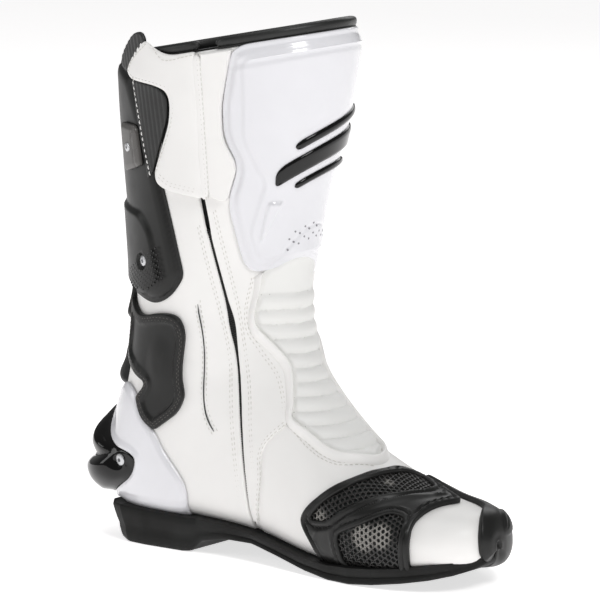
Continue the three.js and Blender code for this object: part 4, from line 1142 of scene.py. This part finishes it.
class BOOT_OT_heel(bpy.types.Operator):
    """Mould the heel cup and the polished two-lobed bumper in it, and turn its screws"""

    bl_idname = "boot.heel"
    bl_label = "Heel"

    def execute(self, context):
        bumper = round_rear(BUMPER)

        def cup_form(spot):
            seat = 1.6 * ridge(spot.inside(bumper, 8) + 1.5, 1.8)
            belly = 0.8 * rise(spot.edge, 2, 14)
            line = -0.5 * ridge(spot.points[:, 2] - 32, 1.2)
            return seat + belly + line - 1.2 * (1 - rise(spot.edge, 0.5, 4))

        cup = relief("heel_cup", gloss_moulding(), round_rear(CUP), 0.4, 3.6, cell=1.5, roll=1.2, lip=0.4, corner=8,
                     shape=cup_form)
        settle(cup, "foot", "white_plastic", "heel_cup")

        def lobes(spot):
            sideways = np.clip(1 - (np.abs(spot.v + 1) / 0.255) ** 2.2, 0, 1) ** 0.55
            t = spot.t + 2.6 * np.abs(spot.v + 1) ** 1.1
            upper = np.where(t > 9.8, ridge(t - 9.8, 0.46), ridge(t - 9.8, 0.31))
            lower = np.where(t > 9.4, ridge(t - 9.4, 0.21), ridge(t - 9.4, 0.44))
            swell = 14.5 * sideways * np.maximum(0.88 * upper, lower)
            near = 0
            for side in (-0.76, -1.24):
                up, round_ = spot.local(8.82, side)
                near = near + ridge(np.hypot(up, round_), 7.0)
            flat = 1 - np.clip(near, 0, 1)
            return swell * flat * rise(spot.edge, 0, 5) + 1.2 * (1 - flat)

        piece = relief("heel_bumper", mirror_moulding(), bumper, 1.0, 5.2, cell=1.1, roll=1.4, lip=0.3, corner=8,
                       shape=lobes)
        settle(piece, "foot", "black_gloss", "heel_bumper")
        for side, place in ((-1, "medial"), (1, "lateral")):
            head = screw(f"heel_bumper_screw_{place}", zinc_plate(), 8.82, side * 0.76, 6.4, radius=3.9)
            settle(head, "foot", "steel", f"heel_bumper_screw_{place}")
        return {"FINISHED"}


SLIDER = [
    (0.72, -0.93, 6), (0.62, -0.78, 8), (0.52, -0.5, 9), (0.66, -0.30, 9), (0.95, -0.13, 9), (1.7, 0.19, 9),
    (2.4, 0.235, 9), (3.2, 0.265, 9), (3.95, 0.31, 8), (4.0, 0.5, 9), (3.6, 0.68, 8), (2.6, 0.84, 5), (1.0, 0.95, 5),
    (-0.07, 0.985, 1), (-0.07, -0.985, 1),
]
PAD = [
    (4.97, -0.55, 8), (4.86, -0.47, 8), (4.45, -0.35, 8), (4.02, -0.22, 8), (3.82, -0.05, 6), (3.82, 0.045, 6),
    (3.5, 0.15, 8), (3.05, 0.175, 6), (2.62, 0.135, 6), (2.22, 0.085, 3), (2.2, 0.03, 4), (2.32, -0.12, 8),
    (2.38, -0.24, 9), (2.42, -0.34, 9), (2.36, -0.44, 9), (2.36, -0.65, 3), (2.4, -0.80, 2), (4.3, -0.83, 2),
    (4.32, -0.735, 5), (4.55, -0.63, 8),
]
LOW_WINDOW = [(3.95, -0.505), (3.35, -0.40), (2.95, -0.30), (2.62, -0.31), (2.58, -0.45), (2.6, -0.63), (3.3, -0.655),
              (3.8, -0.64)]
HIGH_WINDOW = [(4.7, -0.505), (4.45, -0.415), (4.04, -0.295), (3.77, -0.17), (3.67, -0.05), (3.6, 0.06), (3.38, 0.12),
               (3.02, 0.10), (2.95, 0.0), (3.2, -0.165), (3.65, -0.325), (4.22, -0.468)]


def honeycomb(name, window, centre, depth):
    """Six-sided rings on a slanting lattice inside a window, each a flat-topped frame round one open cell."""
    pitch = sizes().comb_pitch / MM
    per_t, per_v = skin_steps(centre[0], centre[1])
    n, m = np.meshgrid(np.arange(-40, 41), np.arange(-40, 41))
    up = (n + 0.5 * m).ravel() * pitch
    round_ = (m * pitch * math.sqrt(3) / 2).ravel()
    turn = math.radians(20)
    a = up * math.cos(turn) - round_ * math.sin(turn)
    b = up * math.sin(turn) + round_ * math.cos(turn)
    t, v = centre[0] + a / per_t, centre[1] + b / per_v
    near = (np.abs(t - centre[0]) < 1.6) & (np.abs(v - centre[1]) < 0.5)
    t, v = t[near], v[near]
    inside = is_inside(t, v, rounded_ring(window, 4))
    t, v = t[inside], v[inside]
    reach = pitch / math.sqrt(3)
    angle = np.radians(np.arange(6) * 60 + 30) + turn
    levels = [(reach * 0.995, -0.5), (reach * 0.995, 0.5), (reach * 0.78, 0.62), (reach * 0.74, -0.5)]
    points = np.array([(r * math.cos(g), r * math.sin(g), h) for r, h in levels for g in angle])
    index = np.arange(24).reshape(4, 6)
    ahead = np.roll(index, -1, axis=1)
    quads = np.stack([index, ahead, np.roll(ahead, -1, axis=0), np.roll(index, -1, axis=0)], -1).reshape(-1, 4)
    made = stamp(points, quads, *frames_on(t, v, depth))
    piece = make_piece(name, honeycomb_with_painted_highlights(), made[0], [made[1]], crease=25)
    # Painted highlight: the frames are lightened to pale grey round these spots, where they catch the light.
    spots = [on_skin(3.35, -0.47), on_skin(3.0, -0.44), on_skin(4.4, -0.47), on_skin(3.5, -0.12)]
    highlight_patches = [(11, 0.9), (10, 0.9), (7, 0.7), (5, 0.7)]
    painted_highlight = np.zeros(len(made[0]))
    for where, (size, amount) in zip(spots, highlight_patches):
        painted_highlight = np.maximum(painted_highlight, amount * (1 - rise(np.linalg.norm(made[0] - where, axis=1), size * 0.55, size)))
    mark = piece.data.attributes.new("painted_highlight", "FLOAT", "POINT")
    mark.data.foreach_set("value", painted_highlight.astype(np.float32))
    return piece


class BOOT_OT_toe(bpy.types.Operator):
    """Mould the toe slider and the shift pad with its honeycomb windows"""

    bl_idname = "boot.toe"
    bl_label = "Toe"

    def execute(self, context):
        black = satin_moulding()

        def slider_form(spot):
            up, round_ = spot.local(0.9, 0.30)
            puck = 1.5 * (1 - rise(np.hypot(up / 9, round_ / 6), 0.75, 1.05))
            slot = -1.0 * (1 - rise(np.hypot(up / 6, (round_ + 1) / 1.3), 0.7, 1.1))
            under = -1.6 * rise(np.abs(spot.v), 0.72, 0.88) * (1 - rise(spot.t, 1.5, 2.5))
            return 1.0 * rise(spot.edge, 0.5, 8) + puck + slot + under

        slider = relief("toe_slider", black, SLIDER, 0.3, 3.6, cell=1.4, roll=1.2, lip=0.4, shape=slider_form)
        settle(slider, "foot", "black_plastic", "toe_slider")
        settle(screw("toe_slider_screw", zinc_plate(), 2.0, 0.52, 3.4), "foot", "steel", "toe_slider_screw")

        def pad_form(spot):
            border = 0.9 * ridge(spot.edge - 2.0, 1.1) - 0.9 * ridge(spot.edge - 4.2, 0.7)
            border = border + 0.5 * ridge(spot.edge - 5.8, 0.8)
            spine = spot.from_path([(4.7, -0.58), (4.2, -0.50), (3.6, -0.345), (3.1, -0.20),
                                    (2.75, -0.07), (2.5, 0.05)])
            rib = 1.3 * ridge(spine, 3.2)
            hook = spot.from_path([(4.55, -0.6), (4.35, -0.52), (3.9, -0.41)])
            crescent = 0.9 * ridge(hook, 1.3)
            tip = spot.from_path([(2.75, 0.10), (2.55, 0.04), (2.62, -0.02)])
            frames = 0.5 * ridge(spot.inside(LOW_WINDOW, 5) + 1.0, 0.9)
            frames = frames + 0.5 * ridge(spot.inside(HIGH_WINDOW, 5) + 1.0, 0.9)
            return (border + frames + 0.9 * ridge(tip, 1.3)) * 1.0 + (rib + crescent) * rise(spot.edge, 4, 7)

        pad = relief("shift_pad", black, PAD, 0.3, 3.2, cell=1.1, roll=0.8, lip=0.4, holes=[LOW_WINDOW, HIGH_WINDOW],
                     shape=pad_form)
        settle(pad, "foot", "black_plastic", "shift_pad")
        inner = inset(rounded_ring(PAD, 6), 3.0)[::4]
        settle(relief("shift_pad_net", brushed_net(), [tuple(p) for p in inner], 0.2, 0.9, cell=2.0, roll=0.3, lip=0.5,
                      corner=2), "foot", "steel", "shift_pad_mesh")
        settle(honeycomb("honeycomb_low", LOW_WINDOW, (3.2, -0.47), 1.9), "foot", "black_plastic")
        settle(honeycomb("honeycomb_high", HIGH_WINDOW, (3.9, -0.2), 1.9), "foot", "black_plastic")
        return {"FINISHED"}


# Heel to toe: x, bottom, top, inner and outer half-widths.
SOLE = np.array([
    [4.6, 12, 23.5, 14, 13], [5, 7, 23.5, 22, 20], [11, 1.5, 23.5, 31, 28], [20, 0, 24, 36, 34], [38, 0, 24, 38, 37],
    [70, 0, 23, 38, 38], [78, 1, 23, 37.6, 38], [84, 8, 23, 37, 38], [105, 12, 22, 37, 39], [128, 12.5, 19.5, 39, 42],
    [150, 8, 15.5, 42, 45], [175, 3, 11.5, 47, 48], [196, 0, 10.5, 50, 51], [214, 0, 11.5, 51, 52],
    [232, 1.8, 13, 49, 50], [252, 5, 15.5, 45, 45], [270, 8.5, 18.5, 38, 37], [283, 12, 20.5, 28, 27],
    [291, 15, 22.5, 18, 17], [295, 18, 24, 10, 10], [296, 20, 24, 4, 4],
])


class BOOT_OT_sole(bpy.types.Operator):
    """Mould the sole with its heel, tread grooves and side line"""

    bl_idname = "boot.sole"
    bl_label = "Sole"

    def execute(self, context):
        groove = sizes().tread_groove / MM
        x = np.unique(np.concatenate([SOLE[:, 0], np.arange(6, 296, 1.5)]))
        bottom, top, inner, outer = (np.interp(x, SOLE[:, 0], SOLE[:, k]) for k in range(1, 5))
        soften = np.array([1, 2, 3, 2, 1]) / 9
        for row in (bottom, top, inner, outer):
            row[2:-2] = np.convolve(row, soften, "valid")
        bottom = np.maximum(bottom, 0)
        middle = -1 - 9 * np.maximum(0, (x - 200) / 100)
        # Round the section: across as a share of the half-width, height as a share between bottom and top.
        under = np.linspace(-0.93, 0.93, 48)
        wall = [(0.97, 0.03), (0.99, 0.12), (0.985, 0.3), (0.965, 0.42), (0.985, 0.54),
                (1.0, 0.75), (1.0, 0.95), (0.97, 1.0)]
        across = np.concatenate([under, [a for a, _ in wall], [0.5, -0.5], [-a for a, _ in wall[::-1]]])
        level = np.concatenate([np.zeros(48), [b for _, b in wall], [1.0, 1.0], [b for _, b in wall[::-1]]])
        y = middle[:, None] + np.where(across < 0, inner[:, None], outer[:, None]) * across
        z = bottom[:, None] + (top - bottom)[:, None] * level
        xs = np.repeat(x[:, None], len(across), 1)
        lugs = np.sin(0.52 * xs + 0.045 * np.abs(y - middle[:, None]) * 4)
        fore = rise(xs, 150, 156) * (1 - rise(xs, 262, 268))
        heel = rise(xs, 12, 16) * (1 - rise(xs, 66, 70))
        tread = groove * rise(lugs, 0.45, 0.7) * np.maximum(fore, heel) * (level == 0)
        tread = tread * (np.abs(across) < 0.88) * (np.abs(across) > 0.07)
        tread = np.maximum(tread, groove * (level == 0) * (np.abs(across) < 0.04) * np.maximum(fore, heel))
        z = z + tread
        # The heel block's rear face slopes in towards the ground.
        xs = xs + (1 - rise(xs, 4, 50)) * (6.5 - 9.5 * np.clip(z / 24, 0, 1))
        points = np.stack([xs, y, z], -1).reshape(-1, 3)
        index = np.arange(len(points)).reshape(len(x), len(across))
        ahead = np.roll(index, -1, axis=1)
        quads = np.stack([index[:-1], ahead[:-1], ahead[1:], index[1:]], -1).reshape(-1, 4)
        sole = make_piece("outsole", sole_rubber(), points, [quads, index[:1, ::-1], index[-1:]], crease=50)
        settle(sole, "foot", "sole_rubber", "outsole")
        return {"FINISHED"}


def lining_sheet(name, stations, start, end, count, inner, outer):
    """A closed sheet between two depths, from a start turn to an end turn at each station."""
    t = np.repeat(stations[:, None], count, 1)
    share = np.linspace(0, 1, count)
    v = start[:, None] + (end - start)[:, None] * share
    faces_out = on_skin(t, v, outer).reshape(-1, 3)
    faces_in = on_skin(t, v, inner).reshape(-1, 3)
    index = np.arange(t.size).reshape(t.shape)
    quads = np.stack([index[:-1, :-1], index[:-1, 1:], index[1:, 1:], index[1:, :-1]], -1).reshape(-1, 4)
    rim = boundary_edges(quads)
    wall = np.stack([rim[:, 1], rim[:, 0], rim[:, 0] + t.size, rim[:, 1] + t.size], 1)
    return make_piece(name, lining_knit(), np.vstack([faces_out, faces_in]), [quads, quads[:, ::-1] + t.size, wall])


class BOOT_OT_inside(bpy.types.Operator):
    """Lay the lining, the padded collar, the footbed and the hidden pads and boards"""

    bl_idname = "boot.inside"
    bl_label = "Inside"

    def execute(self, context):
        stations = np.linspace(6.2, 15.03, 150)
        line = zip_path(6.2, 15.03, 150)
        gap = 7.0 / skin_steps(line[:, 0], line[:, 1])[1]
        shaft = lining_sheet("lining_shaft", stations, line[:, 1] + gap, line[:, 1] + 2 - gap, 160, -6.0, -4.3)
        settle(shaft, "ankle", "black_fabric", "lining_leg", "lining_ankle")
        stations = np.linspace(0.7, 6.2, 60)
        toe = lining_sheet("lining_toe", stations, np.full(60, -0.9995), np.full(60, 0.9995), 130, -6.0, -4.3)
        settle(toe, "foot", "black_fabric", "lining_foot")
        rear = [(15.12, v) for v in np.linspace(-0.438, -1.0, 12)]
        rear = rear + [(15.12, v) for v in np.linspace(-1.06, -2.385, 26)]
        section = ellipse(0, -2.7, 3.5, 3.4, 18, 2.6)
        collar = band("collar_trim", collar_skin(), rear, section, step=2.5, taper=2, crease=70)
        settle(collar, "leg", "black_fabric", "collar_trim")
        piping = band("collar_piping", satin_moulding(), rear, ellipse(-3.0, 0.1, 0.8, 0.7, 8), step=3, taper=2)
        settle(piping, "leg", "black_fabric")
        looks = {
            "insole_board": board_look(), "footbed": lining_knit(), "toe_puff": satin_moulding(),
            "heel_counter": satin_moulding(), "malleolus_pad_medial": foam_look(), "malleolus_pad_lateral": foam_look(),
            "shin_pad": foam_look(), "loop_patch": lining_knit(), "flap_hook_patch": lining_knit(),
            "zip_slider": zinc_plate(), "zip_puller": satin_moulding(), "zip_half_front": lining_knit(),
            "zip_half_rear": lining_knit(), "zip_leg_end": lining_knit(),
        }
        for node, look in looks.items():
            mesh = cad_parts[node].data
            mesh.materials.clear()
            mesh.materials.append(look)
        return {"FINISHED"}


class BOOT_OT_zip(bpy.types.Operator):
    """Lay the zip's tape under the slit and mesh its teeth"""

    bl_idname = "boot.zip"
    bl_label = "Zip"

    def execute(self, context):
        path = zip_path(6.1, 11.9, 60)
        tape = [(-8, -3.2), (8, -3.2), (8, -4.0), (-8, -4.0)]
        settle(band("zip_tape", lining_knit(), path, tape, step=3), "ankle", "black_fabric", "zip_foot", "zip_ankle")
        line = smooth_path(zip_path(6.3, 14.6, 80), 1.5)
        points = [(x, y, z) for x, w in ((-0.55, 0.8), (0.0, 1.0), (0.55, 0.8))
                  for y, z in ((-0.2, -w), (2.0, -w), (2.0, w), (-0.2, w))]
        index = np.arange(12).reshape(3, 4)
        ahead = np.roll(index, -1, axis=1)
        quads = np.vstack([np.stack([index[:-1], ahead[:-1], ahead[1:], index[1:]], -1).reshape(-1, 4), index[:1, ::-1],
                           index[-1:]])
        low = line[line[:, 0] < 12.0]
        heading = np.gradient(on_skin(line[:, 0], line[:, 1]), axis=0)
        parts, faces, first = [], [], 0
        for side in (1, -1):
            shape = np.array(points) * [1, side, 1]
            rows = slice(0, len(low)) if side > 0 else slice(1, len(low))
            at = line[rows] if side > 0 else (line[rows] + line[:-1][:len(low) - 1]) / 2
            frames = frames_on(at[:, 0], at[:, 1], -2.3, heading[rows])
            more, more_faces = stamp(shape, quads if side > 0 else quads[:, ::-1], *frames)
            parts.append(more)
            faces.append(more_faces + first)
            first += len(more)
        teeth = make_piece("zip_teeth", satin_moulding(), np.vstack(parts), [np.vstack(faces)], crease=30)
        settle(teeth, "ankle", "black_plastic")
        return {"FINISHED"}


class BOOT_OT_stage(bpy.types.Operator):
    """Set the floor, the lights and the camera"""

    bl_idname = "boot.stage"
    bl_label = "Stage"

    def execute(self, context):
        scene = context.scene
        scene.view_settings.view_transform = "Standard"
        world = bpy.data.worlds.new("studio")
        world.use_nodes = True
        world.node_tree.nodes["Background"].inputs["Color"].default_value = (1, 1, 1, 1)
        world.node_tree.nodes["Background"].inputs["Strength"].default_value = 0.22
        scene.world = world
        floor_look, made = begin_look("studio_floor")
        if not made:
            glow = (*colours().floor, 1.0)
            shade(floor_look, colours().floor, 0.9, 1.0, 20.0, 0.0, 0.0, shadow=0.99,
                  **{"Emission Color": glow, "Emission Strength": 0.68})
        corners = np.array([[-30, -30, 0], [30, -30, 0], [30, 30, 0], [-30, 30, 0]], float)
        mesh = bpy.data.meshes.new("floor")
        mesh.from_pydata(corners.tolist(), [], [(0, 1, 2, 3)])
        mesh.materials.append(floor_look)
        floor = bpy.data.objects.new("floor", mesh)
        scene.collection.objects.link(floor)
        middle = (np.array(CAD_BOX[0]) + np.array(CAD_BOX[1])) / 2
        # Softboxes: place round the boot in metres, size, power in watts.
        boxes = [
            ("key", (1.5, -0.7, 1.6), 0.6, 17), ("fill", (-1.5, -1.4, 0.9), 0.8, 5.0),
             ("top", (-0.2, -0.1, 2.2), 1.2, 9),
            ("back", (-0.6, 1.8, 1.4), 1.2, 7),
        ]
        for name, place, size, power in boxes:
            lamp = bpy.data.lights.new(name, "AREA")
            lamp.shape, lamp.size, lamp.energy = "SQUARE", size, power
            box = bpy.data.objects.new(name, lamp)
            box.location = middle + np.array(place) - [0, 0, middle[2]]
            box.rotation_euler = look_at(box.location, middle)
            scene.collection.objects.link(box)
        camera = bpy.data.cameras.new("camera")
        camera.lens = 330.75
        camera.sensor_width = 36
        camera.clip_end = 20
        camera.shift_x = -0.0267
        camera.shift_y = -0.0075
        view = bpy.data.objects.new("camera", camera)
        target = to_row([150, 0, 170])
        az, el = math.radians(37), math.radians(9.8)
        toward = np.array([math.sin(az) * math.cos(el), -math.cos(az) * math.cos(el), math.sin(el)])
        view.location = target + toward * 3.5
        view.rotation_euler = look_at(view.location, target)
        scene.collection.objects.link(view)
        scene.camera = view
        return {"FINISHED"}


def look_at(place, target):
    """Turns an object's -Z towards a target, with its Y up."""
    from mathutils import Vector
    way = Vector([float(b) - float(a) for a, b in zip(place, target)])
    return way.to_track_quat("-Z", "Y").to_euler()


class BOOT_PT_panel(bpy.types.Panel):
    bl_label = "Racing boot"
    bl_idname = "BOOT_PT_panel"
    bl_space_type = "VIEW_3D"
    bl_region_type = "UI"
    bl_category = "Boot"

    def draw(self, context):
        for group in (context.scene.boot_sizes, context.scene.boot_colours):
            box = self.layout.box()
            for key in group.bl_rna.properties.keys():
                if key not in ("rna_type", "name"):
                    box.prop(group, key)
        for operator in OPERATORS:
            self.layout.operator(operator.bl_idname)


OPERATORS = (
    BOOT_OT_stage, BOOT_OT_sole, BOOT_OT_inside, BOOT_OT_zip, BOOT_OT_upper, BOOT_OT_instep, BOOT_OT_shin, BOOT_OT_calf,
    BOOT_OT_flap, BOOT_OT_ankle, BOOT_OT_heel, BOOT_OT_toe, BOOT_OT_stitches,
)
CLASSES = (BootSizes, BootColours, *OPERATORS, BOOT_PT_panel)


def register():
    for cls in CLASSES:
        bpy.utils.register_class(cls)
    bpy.types.Scene.boot_sizes = bpy.props.PointerProperty(type=BootSizes)
    bpy.types.Scene.boot_colours = bpy.props.PointerProperty(type=BootColours)


def unregister():
    del bpy.types.Scene.boot_colours
    del bpy.types.Scene.boot_sizes
    for cls in reversed(CLASSES):
        bpy.utils.unregister_class(cls)


def main():
    register()
    for operator in OPERATORS:
        group, name = operator.bl_idname.split(".")
        getattr(getattr(bpy.ops, group), name)()


if __name__ == "__main__":
    main()
